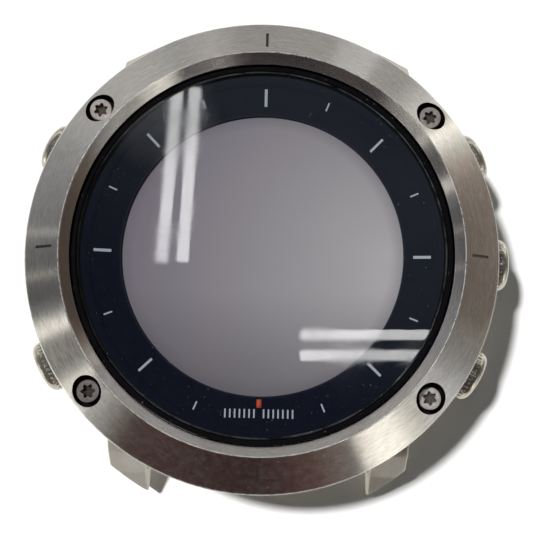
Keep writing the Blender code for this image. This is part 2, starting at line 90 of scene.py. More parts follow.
# Window and dial
CRYSTAL_R = 19.3
CRYSTAL_Z = (13.9, 15.1)
GASKET_WALL = (19.4, 19.9)
GASKET_TOP_Z = 14.8
GASKET_FOOT_Z = 13.65
DIAL_R = 18.4
DIAL_RIM_Z = 13.75
OPENING_R = 14.95
OPENING_Z = 12.95
DIAL_THICKNESS = 0.2
BORDER_R = (18.05, 18.45, 19.1)  # foot, shoulder and outside of the border under the crystal
PRINT_THICKNESS = 0.03
LONG_MARK_R = (15.95, 17.75)
SHORT_MARK_R = (16.85, 17.75)
SCALE_MARK_R = (16.25, 17.15)
MARKER_R = (15.25, 16.1)
QUARTER_MARK_WIDTH = 0.3
LONG_MARK_WIDTH = 0.26
THIN_MARK_WIDTH = 0.16
MARKER_WIDTH = 0.5
SCALE_STEP = 0.5
PANEL_R = 15.3
PANEL_Z = (12.1, 12.65)

# Case
CASE_BOTTOM_Z = 0.9
DECK_R = 24.75
DECK_Z = 11.8
COLLAR_R = 20.75
COLLAR_BORE_R = 18.5
COLLAR_Z = 13.55
CAVITY_R = 17.6
SEAT_Z = 1.6
SEAT_R = 22.15
HORN_INNER_X = 12.4
HORN_OUTER_X = 16.3
HORN_TIP_R = 23.0
HORN_TIP_Y = 6.6
STRAP_WALL_Y = 19.4
STRAP_GAP_TOP_Z = 8.0
STRAP_BAR_R = 0.9
STRAP_BAR_Y = 22.6
STRAP_BAR_Z = 3.7
STRAP_BAR_DEPTH = 2.5
HORN_OUTLINE = (  # (distance from the middle of the watch, height, rounding)
    (17.2, 1.75, 0), (20.2, 1.75, 0.3), (21.2, 1.0, 0.6), (24.4, 0.9, 1.2), (25.8, 1.3, 1.2),
    (26.2, 2.2, 1.2), (25.8, 3.3, 1.5), (23.7, 5.2, 3.0), (21.0, 8.4, 2.5), (17.2, 9.8, 0),
)

# Pushers: lengths along a radius of the case
PUSHER_CLOCK = {"start": 62.6, "next": 90.0, "light": 118.0, "view": 242.0, "back": 297.4}
PUSHER_Z = 8.0
PUSHER_FACE = 26.9
CAP_R = 2.8
CAP_ROUND = 0.8
CAP_INNER_END = 23.9
HOLLOW_R = 2.15
HOLLOW_END = 25.2
STEM_R = 0.95
STEM_TIP = 16.6
CLIP_NECK = (17.2, 17.6)
CLIP_NECK_R = 0.65
WELL_R = 3.0  # the well in the case that a cap sinks into
WELL_FLOOR = 22.9
WELL_MOUTH = 24.2
SLEEVE_R = 1.85
FLUTES = 32
FLUTE_DEPTH = 0.12
FLUTE_ENDS = (  # (distance along the radius, share of the flutes' depth)
    (24.0, 0), (24.5, 0), (24.65, 0.7), (24.8, 1), (25.85, 1), (25.98, 0.7), (26.06, 0.1),
)
TRAVEL = 0.8
SPRING_R = 1.6
SPRING_WIRE_R = 0.16
SPRING_TURNS = 3.5
SPRING_WIRE_ENDS = (23.01, 24.99)  # the wire's middle, by the sleeve and by the cap
SPRING_STEPS = 24  # in one turn
SPRING_SIDES = 12

# Charging contacts, on the 9 o'clock side
CONTACT_Z = 7.0
PIN_Y = (-3.0, -1.0, 1.0, 3.0)
PIN_R = 0.5
CARRIER_X = (-23.9, -21.5)
CARRIER_HALF_WIDTH = 4.4
CARRIER_HALF_HEIGHT = 1.3
CLEARANCE = 0.1

# Case back
BACK_R = 22.0
BACK_Z = 1.5
BACK_FLAT_Y = 19.2
BACK_SCREW_R = 20.0
BACK_SCREW_CLOCK = (45, 135, 225, 315)
BACK_HEAD_R = 1.1
BACK_POCKET_Z = 0.85
SENSOR_Y = 14.3
PORT_R = (1.2, 2.6)  # the sensor's port: its hole and the grille's recess
PORT_STEP_Z = 0.75
GRILLE_R = 2.45
GRILLE_Z = (0.1, 0.6)
VENT_R = 0.35
VENT_CIRCLE_R = 1.3


# ---- meshes


def smooth(obj):
    """Smooth shading with crisp edges where faces meet at more than CREASE."""
    obj.data.shade_smooth()
    obj.data.set_sharp_from_angle(angle=CREASE)
    return obj


def linked(name, data):
    obj = bpy.data.objects.new(name, data)
    bpy.context.scene.collection.objects.link(obj)
    return obj


def add(name, bm, material=None):
    bmesh.ops.remove_doubles(bm, verts=bm.verts, dist=1e-8)
    bmesh.ops.recalc_face_normals(bm, faces=bm.faces)
    mesh = bpy.data.meshes.new(name)
    bm.to_mesh(mesh)
    bm.free()
    if material:
        mesh.materials.append(material)
    return smooth(linked(name, mesh))


def loft(name, rings, material=None, looped=False):
    """One closed mesh through rings of (x, y, z) points.

    A ring of one point is a pole, and looped joins the last ring to the first.
    """
    bm = bmesh.new()
    rows = [[bm.verts.new(Vector(p) * MM) for p in ring] for ring in rings]
    if looped:
        rows.append(rows[0])
    for a, b in zip(rows, rows[1:]):
        count = max(len(a), len(b))
        for i in range(count):
            j = (i + 1) % count
            corners = [a[i % len(a)], a[j % len(a)], b[j % len(b)], b[i % len(b)]]
            unique = list(dict.fromkeys(corners))
            if len(unique) > 2:
                bm.faces.new(unique)
    return add(name, bm, material)


def ring(reach, z, sides):
    """Points about Z, as far out at each angle as reach says."""
    turns = [math.tau * i / sides for i in range(sides)]
    return [(reach(a) * math.cos(a), reach(a) * math.sin(a), z) for a in turns]


def circle(radius, z, sides):
    return ring(lambda _: radius, z, sides) if radius else [(0, 0, z)]


def rounded(corners, looped=True, steps=5):
    """A 2-D outline through (x, y, radius) corners. A radius of 0 keeps the corner sharp."""
    points = []
    places = [Vector(corner[:2]) for corner in corners]
    for i, here in enumerate(places):
        radius = corners[i][2]
        at_end = not looped and i in (0, len(places) - 1)
        if radius == 0 or at_end:
            points.append(here)
            continue
        before = places[i - 1] - here
        after = places[(i + 1) % len(places)] - here
        half = before.angle(after) / 2
        reach = min(radius / math.tan(half), before.length * 0.49, after.length * 0.49)
        start = here + before.normalized() * reach
        end = here + after.normalized() * reach
        for k in range(steps + 1):
            t = k / steps
            points.append(start * (1 - t) ** 2 + here * (2 * t * (1 - t)) + end * t**2)
    return [(p.x, p.y) for p in points]


def lathe(name, profile, sides, material=None):
    """A body turned about Z, from a profile that is a loop or goes from axis to axis.

    The profile has (radius, height) points, or (radius, height, rounding) corners.
    """
    looped = profile[0][0] != 0
    if len(profile[0]) == 3:
        profile = rounded(profile, looped)
    return loft(name, [circle(r, z, sides) for r, z in profile], material, looped)


def drum(name, radius, low, high, sides=SMALL):
    return lathe(name, [(0, high), (radius, high), (radius, low), (0, low)], sides)


def stepped(name, upper, lower, step_z, low, high, sides=SMALL):
    """A cutter of two radii, upper above step_z and lower below it."""
    profile = [(0, high), (upper, high), (upper, step_z)]
    profile += [(lower, step_z), (lower, low), (0, low)]
    return lathe(name, profile, sides)


def block(name, xs, ys, zs, material=None, bevel=0.0):
    """A box between pairs of x, y and z, with its edges rounded by bevel."""
    bm = bmesh.new()
    bmesh.ops.create_cube(bm, size=MM)
    bmesh.ops.scale(bm, vec=[b - a for a, b in (xs, ys, zs)], verts=bm.verts)
    middle = Vector([(a + b) / 2 for a, b in (xs, ys, zs)]) * MM
    bmesh.ops.translate(bm, vec=middle, verts=bm.verts)
    if bevel:
        round_over = {"offset": bevel * MM, "segments": 3, "profile": 0.5, "affect": "EDGES"}
        bmesh.ops.bevel(bm, geom=bm.edges, **round_over)
    return add(name, bm, material)


def moved(obj, matrix):
    obj.data.transform(matrix)
    if matrix.determinant() < 0:
        obj.data.flip_normals()
    return obj


def shifted(obj, x, y, z=0.0):
    return moved(obj, Matrix.Translation(Vector((x, y, z)) * MM))


def on_clock(angle, radius):
    """The point at a clock angle, in degrees clockwise from 12 o'clock."""
    turn = math.radians(angle)
    return radius * math.sin(turn), radius * math.cos(turn)


def rotated(obj, degrees, axis="Z"):
    return moved(obj, Matrix.Rotation(math.radians(degrees), 4, axis))


def along_radius(obj, angle):
    """Lays obj's own Z along the case's radius at a clock angle, at the pushers' height."""
    return shifted(rotated(rotated(obj, 90, "Y"), 90 - angle), 0, 0, PUSHER_Z)


def joined(name, objs):
    """One object from several that don't touch."""
    bm = bmesh.new()
    materials = []
    for obj in objs:
        for material in obj.data.materials:
            if material not in materials:
                materials.append(material)
        start = len(bm.faces)
        bm.from_mesh(obj.data)
        bm.faces.ensure_lookup_table()
        if obj.data.materials:
            for face in bm.faces[start:]:
                face.material_index = materials.index(obj.data.materials[0])
        bpy.data.objects.remove(obj)
    made = add(name, bm)
    for material in materials:
        made.data.materials.append(material)
    return made


def settled(obj):
    """obj with its modifiers applied."""
    graph = bpy.context.evaluated_depsgraph_get()
    mesh = bpy.data.meshes.new_from_object(obj.evaluated_get(graph))
    obj.modifiers.clear()
    obj.data = mesh
    return smooth(obj)


def combined(obj, other, operation="DIFFERENCE"):
    """obj with other cut from it, joined to it or met with it. Cut faces keep other's material."""
    step = obj.modifiers.new(other.name, "BOOLEAN")
    step.operation = operation
    step.object = other
    step.solver = "EXACT"
    step.material_mode = "TRANSFER"
    settled(obj)
    bpy.data.objects.remove(other)
    return obj


def cut(obj, cutters):
    """obj with cutters that don't touch cut from it."""
    return combined(obj, joined("cutters", cutters))


def bevelled(obj, width, segments, angle):
    """obj with its edges of more than angle degrees rounded."""
    step = obj.modifiers.new("Bevel", "BEVEL")
    step.width = width * MM
    step.segments = segments
    step.limit_method = "ANGLE"
    step.angle_limit = math.radians(angle)
    return settled(obj)


def reworked(obj, work):
    """obj after a bmesh step on its mesh."""
    bm = bmesh.new()
    bm.from_mesh(obj.data)
    work(bm)
    bmesh.ops.recalc_face_normals(bm, faces=bm.faces)
    bm.to_mesh(obj.data)
    bm.free()
    return obj


def capped(obj):
    """Fills the open ends of a lofted prism."""
    return reworked(obj, lambda bm: bmesh.ops.holes_fill(bm, edges=bm.edges))


def merged(obj):
    """Merges points that nearly meet, so that a bevel after a cut stays closed."""

    def work(bm):
        bmesh.ops.remove_doubles(bm, verts=bm.verts, dist=NEARLY * MM)
        bmesh.ops.dissolve_degenerate(bm, edges=bm.edges, dist=NEARLY * MM)

    return reworked(obj, work)


def piece(obj, material_slot, *nodes, body="case"):
    """Says what the piece rides on and which CAD nodes it stands for. material_slot is not used.
    """
    weights = obj.modifiers.new("Weighted normals", "WEIGHTED_NORMAL")
    weights.keep_sharp = True
    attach(obj, body)
    if nodes:
        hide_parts(*nodes)


# ---- materials


class Shader:
    """The node tree of a material or a world, with short calls for the nodes used here."""

    def __init__(self, owner=None):
        self.owner = owner or bpy.data.materials.new("look")
        self.owner.use_nodes = True
        self.tree = self.owner.node_tree
        self.tree.nodes.clear()
        self.point = None
        self.parts = None
        self.polar = None

    def node(self, kind, inputs=None, **settings):
        made = self.tree.nodes.new("ShaderNode" + kind)
        for key, value in settings.items():
            setattr(made, key, value)
        for key, value in (inputs or {}).items():
            self.feed(made.inputs[key], value)
        return made

    def feed(self, socket, value):
        if isinstance(value, bpy.types.NodeSocket):
            self.tree.links.new(value, socket)
        else:
            socket.default_value = value

    def math(self, operation, a, b=0.0, c=0.0):
        return self.node("Math", {0: a, 1: b, 2: c}, operation=operation).outputs[0]

    def times(self, a, b):
        return self.math("MULTIPLY", a, b)

    def plus(self, a, b):
        return self.math("ADD", a, b)

    def range(self, value, low, high, out_low=0.0, out_high=1.0):
        inputs = {0: value, 1: low, 2: high, 3: out_low, 4: out_high}
        return self.node("MapRange", inputs, clamp=True).outputs[0]

    def mix(self, factor, a, b):
        made = self.node("Mix", data_type="RGBA")
        self.feed(made.inputs[0], factor)
        for index, colour in ((6, a), (7, b)):
            value = colour if isinstance(colour, bpy.types.NodeSocket) else (*colour, 1.0)
            self.feed(made.inputs[index], value)
        return made.outputs[2]

    def spread(self, noise, low, high):
        """A noise's middle values drawn out to go from low to high."""
        return self.range(noise, 0.3, 0.7, low, high)

    def toned(self, noise, colour, low, high):
        """The colour, made darker or lighter by a noise."""
        tones = (scaled(colour, factor) for factor in (low, high))
        return self.mix(self.spread(noise, 0.0, 1.0), *tones)

    def where(self):
        """The point on the object, in millimetres."""
        if not self.point:
            coords = self.node("TexCoord").outputs["Object"]
            millimetres = self.node("VectorMath", {0: coords, "Scale": 1 / MM}, operation="SCALE")
            self.point = millimetres.outputs[0]
        return self.point

    def xyz(self):
        """The point's x, y and z."""
        if not self.parts:
            self.parts = tuple(self.node("SeparateXYZ", {0: self.where()}).outputs)
        return self.parts

    def round_about(self):
        """(distance from the case's axis, angle about it in radians, height)."""
        if not self.polar:
            x, y, z = self.xyz()
            square = self.math("MULTIPLY_ADD", x, x, self.times(y, y))
            self.polar = (self.math("SQRT", square), self.math("ARCTAN2", x, y), z)
        return self.polar

    def distance(self, place):
        """How far the point is from a place, both in millimetres."""
        ends = {0: self.where(), 1: place}
        return self.node("VectorMath", ends, operation="DISTANCE").outputs["Value"]

    def noise(self, scale, detail=3.0, roughness=0.55, vector=None):
        inputs = {"Vector": vector or self.where(), "Scale": scale, "Detail": detail}
        return self.node("TexNoise", inputs | {"Roughness": roughness}).outputs[0]

    def round_noise(self, across, along, detail=3.0, roughness=0.6):
        """Noise on lines round the axis, with one scale from line to line and one along them."""
        radius, turn, height = self.round_about()
        x = self.times(self.math("SINE", turn), along)
        y = self.times(self.math("COSINE", turn), along)
        lines = self.node("CombineXYZ", {0: x, 1: y, 2: self.times(height, across)})
        inputs = {"Vector": lines.outputs[0], "W": self.times(radius, across), "Scale": 1.0}
        inputs |= {"Detail": detail, "Roughness": roughness}
        return self.node("TexNoise", inputs, noise_dimensions="4D").outputs[0]

    def stretched(self, angle, along, across):
        """Noise drawn out along one direction in the XY plane, for scratches."""
        inputs = {"Vector": self.where(), "Angle": math.radians(angle)}
        turned = self.node("VectorRotate", inputs, rotation_type="Z_AXIS")
        inputs = {0: turned.outputs[0], 1: (along, across, across)}
        drawn_out = self.node("VectorMath", inputs, operation="MULTIPLY")
        return self.noise(1.0, 2.0, vector=drawn_out.outputs[0])

    def bump(self, height, strength, distance):
        inputs = {"Strength": strength, "Distance": distance * MM, "Height": height}
        return self.node("Bump", inputs).outputs[0]

    def done(self, shader, output="OutputMaterial"):
        self.tree.links.new(shader.outputs[0], self.node(output).inputs[0])
        return self.owner

    def surface(self, colour, roughness, relief=None, **more):
        """Ends a material with the usual shader."""
        inputs = {"Base Color": colour, "Roughness": roughness}
        inputs |= {key.replace("_", " "): value for key, value in more.items()}
        if relief:
            inputs["Normal"] = relief
        return self.done(self.node("BsdfPrincipled", inputs))


def scaled(colour, factor):
    return tuple(part * factor for part in colour)


# Wear and dirt on the bezel, a darker brown patch, and rubbed edges with a painted highlight
STAIN = (0.54, 0.49, 0.45)
PITS = (0.26, 0.21, 0.19)
SCRATCH = (0.85, 0.84, 0.82)
SCRATCHES = ((25, 7.0), (-48, 8.0), (80, 6.0))  # (direction in degrees, closeness)
TARNISH = (0.44, 0.264, 0.2508)
TARNISH_CENTRE = (-3.0, -23.0, RIM_Z)
TARNISH_FADE = (5.0, 15.0)  # distances from its centre
LEFT_SLOPE_BROWN = (0.13, 0.075, 0.025)  # darker brown on the left part of the slope inside the ridge
LEFT_SLOPE_X = (-18.5, -15.5)
# lighter colour of the rubbed edges: worn steel with a painted highlight
RUBBED_EDGE_HIGHLIGHT = (0.8, 0.79, 0.75)


def brushed_steel(tint, roughness, anisotropy=0.9, edges=()):
    """Steel brushed round the case's axis, with haze, scratches and tarnish, and darker brown
    on the left of the slope inside the ridge.

    The slope inside the ridge is smoother. edges are the (radius, half width) of rubbed edges,
    which are lighter and less metallic: wear with a painted highlight.
    """
    s = Shader()
    radius = s.round_about()[0]
    fine = s.round_noise(18.0, 30.0, 4.0, 0.7)
    broad = s.round_noise(3.0, 9.0, 3.0)
    blotch = s.noise(0.22, 4.0, 0.6)
    grit = s.noise(5.5, 3.0, 0.7)
    marks = [s.range(s.stretched(angle, 0.35, across), 0.74, 0.79) for angle, across in SCRATCHES]
    scratch = s.math("MAXIMUM", s.math("MAXIMUM", marks[0], marks[1]), marks[2])
    scratch = s.times(scratch, s.range(s.noise(0.5, 1.0), 0.5, 0.62))

    light = s.toned(fine, tint, 0.74, 1.24)
    light = s.mix(s.range(blotch, 0.35, 0.7, 0.0, 0.25), light, STAIN)
    light = s.mix(s.range(grit, 0.6, 0.75, 0.0, 0.3), light, PITS)
    tarnish = s.range(s.noise(1.3, 4.0, 0.7), 0.4, 0.62, 0.0, 0.8)
    tarnish = s.times(tarnish, s.range(s.distance(TARNISH_CENTRE), *TARNISH_FADE, 1.0, 0.0))
    tarnish = s.times(tarnish, s.range(radius, RIDGE_R, RIDGE_R + 0.2))
    light = s.mix(tarnish, light, TARNISH)
    # darker brown over the left part of the slope inside the ridge
    left_brown = s.range(s.xyz()[0], *LEFT_SLOPE_X, 0.68, 0.0)
    left_brown = s.times(left_brown, s.range(radius, RIDGE_R - 0.14, RIDGE_R - 0.06, 1.0, 0.0))
    light = s.mix(left_brown, light, LEFT_SLOPE_BROWN)
    light = s.mix(s.times(scratch, 0.6), light, SCRATCH)

    rough = s.spread(broad, roughness - 0.03, roughness + 0.04)
    rough = s.plus(rough, s.times(scratch, 0.12))
    rough = s.plus(rough, s.range(blotch, 0.4, 0.7, 0.0, 0.04))
    rough = s.times(rough, s.range(radius, RIDGE_R - 0.12, RIDGE_R - 0.04, 0.75, 1.0))

    metal = 1.0
    # rubbed edges, lighter and less metallic: real wear and a painted highlight along the ridge
    # and rim
    for edge, half_width in edges:
        off = s.math("ABSOLUTE", s.math("SUBTRACT", radius, edge))
        rubbed = s.range(off, half_width * 0.5, half_width, 1.0, 0.0)
        patches = s.range(s.noise(1.6, 4.0, 0.7), 0.3, 0.62, 0.3, 1.0)
        rubbed = s.times(rubbed, patches)
        light = s.mix(rubbed, light, RUBBED_EDGE_HIGHLIGHT)
        metal = s.math("SUBTRACT", metal, s.times(rubbed, 0.45))

    relief = s.plus(s.times(fine, 0.6), s.times(scratch, -0.5))
    return s.surface(
        light,
        rough,
        s.bump(relief, 0.04, 0.01),
        Metallic=metal,
        Anisotropic=anisotropy,
        Anisotropic_Rotation=s.range(broad, 0.2, 0.8, 0.238, 0.262),
        Tangent=s.node("Tangent", direction_type="RADIAL", axis="Z").outputs[0],
    )


def blasted_steel(tint, roughness, grain=9.0, metallic=1.0):
    """Matt bead-blasted steel: fine pits, faint stains and a few rubbed patches."""
    s = Shader()
    pits = s.noise(grain, 4.0, 0.65)
    stains = s.noise(0.35, 4.0, 0.6)
    rubbed = s.range(s.noise(0.9, 3.0), 0.55, 0.75)
    colour = s.toned(pits, tint, 0.86, 1.1)
    colour = s.mix(s.range(stains, 0.4, 0.72, 0.0, 0.35), colour, (0.46, 0.41, 0.34))
    rough = s.spread(stains, roughness - 0.05, roughness + 0.08)
    rough = s.math("SUBTRACT", rough, s.times(rubbed, 0.09))
    return s.surface(colour, rough, s.bump(pits, 0.22, 0.03), Metallic=metallic)


def screw_steel(tint, roughness):
    """Gritty pink-grey steel with stains and a recess darkened as painted shade.

    Painted shade also darkens whole heads, most at the lower left screw, less at the upper right.
    """
    s = Shader()
    grit = s.noise(7.0, 4.0, 0.7)
    patch = s.noise(1.3, 3.0)
    colour = s.mix(s.range(grit, 0.35, 0.7), scaled(tint, 1.1), scaled(tint, 0.72))
    colour = s.mix(s.range(patch, 0.45, 0.7, 0.0, 0.4), colour, (0.36, 0.27, 0.23))
    x, y, height = s.xyz()
    # painted shade over whole heads: most at the lower left screw, some at the upper right
    lower_left_shade = s.range(s.plus(x, y), -30.0, -8.0, 0.62, 0.0)
    upper_right_shade = s.range(s.plus(x, y), 8.0, 30.0, 0.0, 0.35)
    colour = s.mix(s.plus(lower_left_shade, upper_right_shade), colour, (0.05, 0.04, 0.04))
    # painted shade in the six-lobed recess, below the head's top face
    recess_shade = s.range(height, HEAD_Z - 0.4, HEAD_Z - 0.12, 0.85, 0.0)
    recess_shade = s.times(recess_shade, s.math("GREATER_THAN", height, POCKET_FLOOR_Z))
    colour = s.mix(recess_shade, colour, (0.035, 0.028, 0.025))
    rough = s.spread(patch, roughness - 0.06, roughness + 0.1)
    return s.surface(colour, rough, s.bump(grit, 0.25, 0.02), Metallic=0.5)


def moulded(colour, roughness, dust=0.0, specular=0.5):
    """Moulded plastic, rubber or paint: a fine texture, slow changes of tone, and dust specks."""
    s = Shader()
    fine = s.noise(14.0, 3.0)
    slow = s.noise(0.5, 3.0)
    tone = s.toned(slow, colour, 0.85, 1.2)
    if dust:
        specks = s.range(s.noise(4.5, 1.0), 0.76, 0.8, 0.0, dust)
        tone = s.mix(specks, tone, (0.5, 0.5, 0.48))
    rough = s.spread(fine, roughness - 0.06, roughness + 0.08)
    return s.surface(tone, rough, s.bump(fine, 0.15, 0.02), Specular_IOR_Level=specular)


def dial_lacquer():
    """Blue-black print with mottling and specks of dust, greyer towards the upper right as painted
    light.
    """
    s = Shader()
    x, y, _ = s.xyz()
    radius = s.round_about()[0]
    mottle = s.noise(1.2, 4.0)
    specks = s.range(s.noise(6.0, 1.0), 0.77, 0.8, 0.0, 0.5)
    tone = s.mix(s.range(mottle, 0.3, 0.7), (0.0022, 0.003, 0.0085), (0.004, 0.005, 0.012))
    # painted light: greyer towards the upper right, in uneven clouds
    clouds = s.noise(0.12, 3.0)
    upper = s.range(s.math("MULTIPLY_ADD", x, 0.5, y), -12.0, 14.0)
    upper = s.times(upper, s.spread(clouds, 0.75, 1.2))
    tone = s.mix(upper, tone, (0.0125, 0.0148, 0.0195))
    edge = s.range(radius, OPENING_R, OPENING_R + 0.25, 1.0, 0.0)
    tone = s.mix(s.times(edge, 0.4), tone, (0.03, 0.03, 0.045))
    tone = s.mix(specks, tone, (0.16, 0.17, 0.18))
    rough = s.spread(mottle, 0.38, 0.5)
    return s.surface(tone, rough, s.bump(mottle, 0.1, 0.02), Specular_IOR_Level=0.06)


def print_ink(colour):
    """Printed marks: slightly uneven ink."""
    s = Shader()
    grain = s.noise(12.0, 3.0)
    tone = s.mix(s.range(grain, 0.45, 0.8, 0.0, 0.35), colour, scaled(colour, 0.55))
    return s.surface(tone, 0.5, s.bump(grain, 0.2, 0.01))


LIGHT_POOL_CENTRE = (14.0, -1.5, PANEL_Z[1])  # where the painted pool of light on the switched-off display is palest
LIGHT_POOL_FADE = (2.0, 27.0)
SCUFFED_SPOT = (1.2, 1.0, PANEL_Z[1])
PIXEL = 0.11


def display_film():
    """A switched-off display: warm grey with a faint pixel grid.

    Painted light: a pool of light palest at the right, painted shade towards the bottom,
    and a painted shadow of the dial ring round the edge.
    """
    s = Shader()
    x, y, _ = s.xyz()
    radius = s.round_about()[0]
    # painted pool of light, palest at the right
    away = s.math("POWER", s.range(s.distance(LIGHT_POOL_CENTRE), *LIGHT_POOL_FADE), 0.85)
    tone = s.mix(away, (0.425, 0.396, 0.393), (0.192, 0.167, 0.188))
    # painted shade, darker towards the bottom
    tone = s.mix(s.range(y, -14.0, -4.0, 0.38, 0.0), tone, (0.0, 0.0, 0.0))
    cloud = s.noise(0.09, 3.0)
    tone = s.mix(s.range(cloud, 0.35, 0.7, 0.0, 0.1), tone, (0.23, 0.215, 0.235))
    # painted shadow of the dial ring round the display's edge
    rim = s.range(radius, OPENING_R - 1.4, OPENING_R - 0.1, 0.0, 0.35)
    tone = s.mix(rim, tone, (0.1, 0.088, 0.1))
    grid = s.math("MINIMUM", *(s.math("PINGPONG", part, PIXEL / 2) for part in (x, y)))
    tone = s.mix(s.range(grid, 0.0, 0.018, 0.06, 0.0), tone, (0.08, 0.08, 0.09))
    scuff = s.range(s.stretched(33, 0.5, 9.0), 0.66, 0.74, 0.0, 0.35)
    scuff = s.times(scuff, s.range(s.distance(SCUFFED_SPOT), 0.6, 3.2, 1.0, 0.0))
    tone = s.mix(scuff, tone, (0.42, 0.41, 0.4))
    rough = s.spread(cloud, 0.42, 0.52)
    return s.surface(tone, rough, Specular_IOR_Level=0.25)


# the haze patch: a smear, brightened by the tube's reflection as a painted reflection
REFLECTION_HAZE_CENTRE = (-11.0, 14.5, CRYSTAL_Z[1])
REFLECTION_HAZE_FADE = (0.5, 6.5)
MOST_MIRROR = 0.45  # the coating keeps the crystal's reflection below this at a low angle


def mineral_glass():
    """Clear coated glass: light goes straight through, and its outer faces mirror the room.

    It has a ground edge with a painted highlight that fades to the left as painted shade, faint
    smears, hair scratches, dust, and smeared haze by the tube's reflection as a painted
    reflection.
    """
    s = Shader()
    smear = s.noise(0.16, 4.0, 0.6)
    outer = s.math("SUBTRACT", 1.0, s.node("NewGeometry").outputs["Backfacing"])
    ripple = s.bump(s.noise(0.3, 2.0), 0.005, 0.1)
    fresnel = s.node("Fresnel", {"IOR": 1.52, "Normal": ripple}).outputs[0]
    mirror = s.times(s.math("MINIMUM", fresnel, MOST_MIRROR), outer)
    rough = s.range(smear, 0.4, 0.7, 0.015, 0.06)
    inputs = {"Color": (1, 1, 1, 1), "Roughness": rough, "Normal": ripple}
    gloss = s.node("BsdfAnisotropic", inputs)
    clear = s.node("BsdfTransparent", {"Color": (0.955, 0.965, 0.975, 1)})
    film = s.node("BsdfDiffuse", {"Color": (0.75, 0.76, 0.78, 1)})

    # smeared haze by the tube's reflection: a painted reflection
    haze = s.times(s.range(s.distance(REFLECTION_HAZE_CENTRE), *REFLECTION_HAZE_FADE, 0.075, 0.0), smear)
    hair = s.range(s.stretched(-35, 0.25, 9.0), 0.73, 0.78)
    hair = s.times(hair, s.range(s.noise(0.4, 1.0), 0.52, 0.6))
    dust = s.range(s.noise(5.0, 1.0), 0.78, 0.81)
    radius = s.round_about()[0]
    # ground edge: a frosted ring as a painted highlight, fainter towards the left as painted shade
    ground = s.range(radius, CRYSTAL_R - 0.25, CRYSTAL_R - 0.21)
    ground = s.times(ground, s.range(s.noise(0.5, 3.0), 0.35, 0.65, 0.0, 0.13))
    ground = s.times(ground, s.range(s.xyz()[0], -18.0, 12.0, 0.1, 1.0))
    cover = s.plus(s.plus(haze, s.times(hair, 0.06)), ground)
    cover = s.times(s.plus(cover, s.times(dust, 0.25)), outer)
    dusty = s.node("MixShader", {0: cover, 1: clear.outputs[0], 2: film.outputs[0]})
    return s.done(s.node("MixShader", {0: mirror, 1: dusty.outputs[0], 2: gloss.outputs[0]}))


def circuit_laminate():
    """Green solder mask over copper tracks, with the weave just showing."""
    s = Shader()
    x, y, _ = s.xyz()
    inputs = {"Vector": s.where(), "Scale": 0.8}
    tracks = s.node("TexVoronoi", inputs, distance="MANHATTAN").outputs[0]
    line = s.range(s.math("PINGPONG", tracks, 0.16), 0.0, 0.05, 1.0, 0.0)
    weave = s.math("PINGPONG", s.plus(x, y), 0.2)
    tone = s.mix(s.range(weave, 0.0, 0.2), (0.008, 0.06, 0.03), (0.012, 0.09, 0.045))
    tone = s.mix(s.times(line, 0.7), tone, (0.05, 0.2, 0.09))
    return s.surface(tone, 0.4, s.bump(line, 0.3, 0.03))


def foil(tint, roughness):
    """Thin wrinkled metal foil."""
    s = Shader()
    folds = s.noise(0.8, 5.0, 0.7)
    tone = s.toned(folds, tint, 0.8, 1.15)
    return s.surface(tone, roughness, s.bump(folds, 0.5, 0.15), Metallic=0.9)


def bright_metal(tint, roughness, grain=6.0):
    """Plain bright metal, such as tinned sheet, gold plate or spring wire, with handling marks."""
    s = Shader()
    grit = s.noise(grain, 4.0, 0.65)
    slow = s.noise(0.9, 3.0)
    tone = s.toned(grit, tint, 0.84, 1.1)
    rough = s.spread(slow, roughness - 0.07, roughness + 0.1)
    return s.surface(tone, rough, s.bump(grit, 0.15, 0.02), Metallic=1.0)


def studio_floor():
    """Pale paper from above, and clear from below so that the back can be looked at."""
    s = Shader(bpy.data.materials.new("floor_paper"))
    grain = s.noise(0.02, 3.0)
    tone = s.mix(s.range(grain, 0.3, 0.7), (0.93, 0.93, 0.93), (0.95, 0.95, 0.95))
    paper = s.node("BsdfDiffuse", {"Color": tone})
    clear = s.node("BsdfTransparent", {"Color": (1, 1, 1, 1)})
    below = s.node("NewGeometry").outputs["Backfacing"]
    return s.done(s.node("MixShader", {0: below, 1: paper.outputs[0], 2: clear.outputs[0]}))


# the ridge and the rim's edge, worn and given a painted highlight
BEZEL_EDGES = ((RIDGE_R, 0.075), (BEZEL_R - 0.08, 0.09))

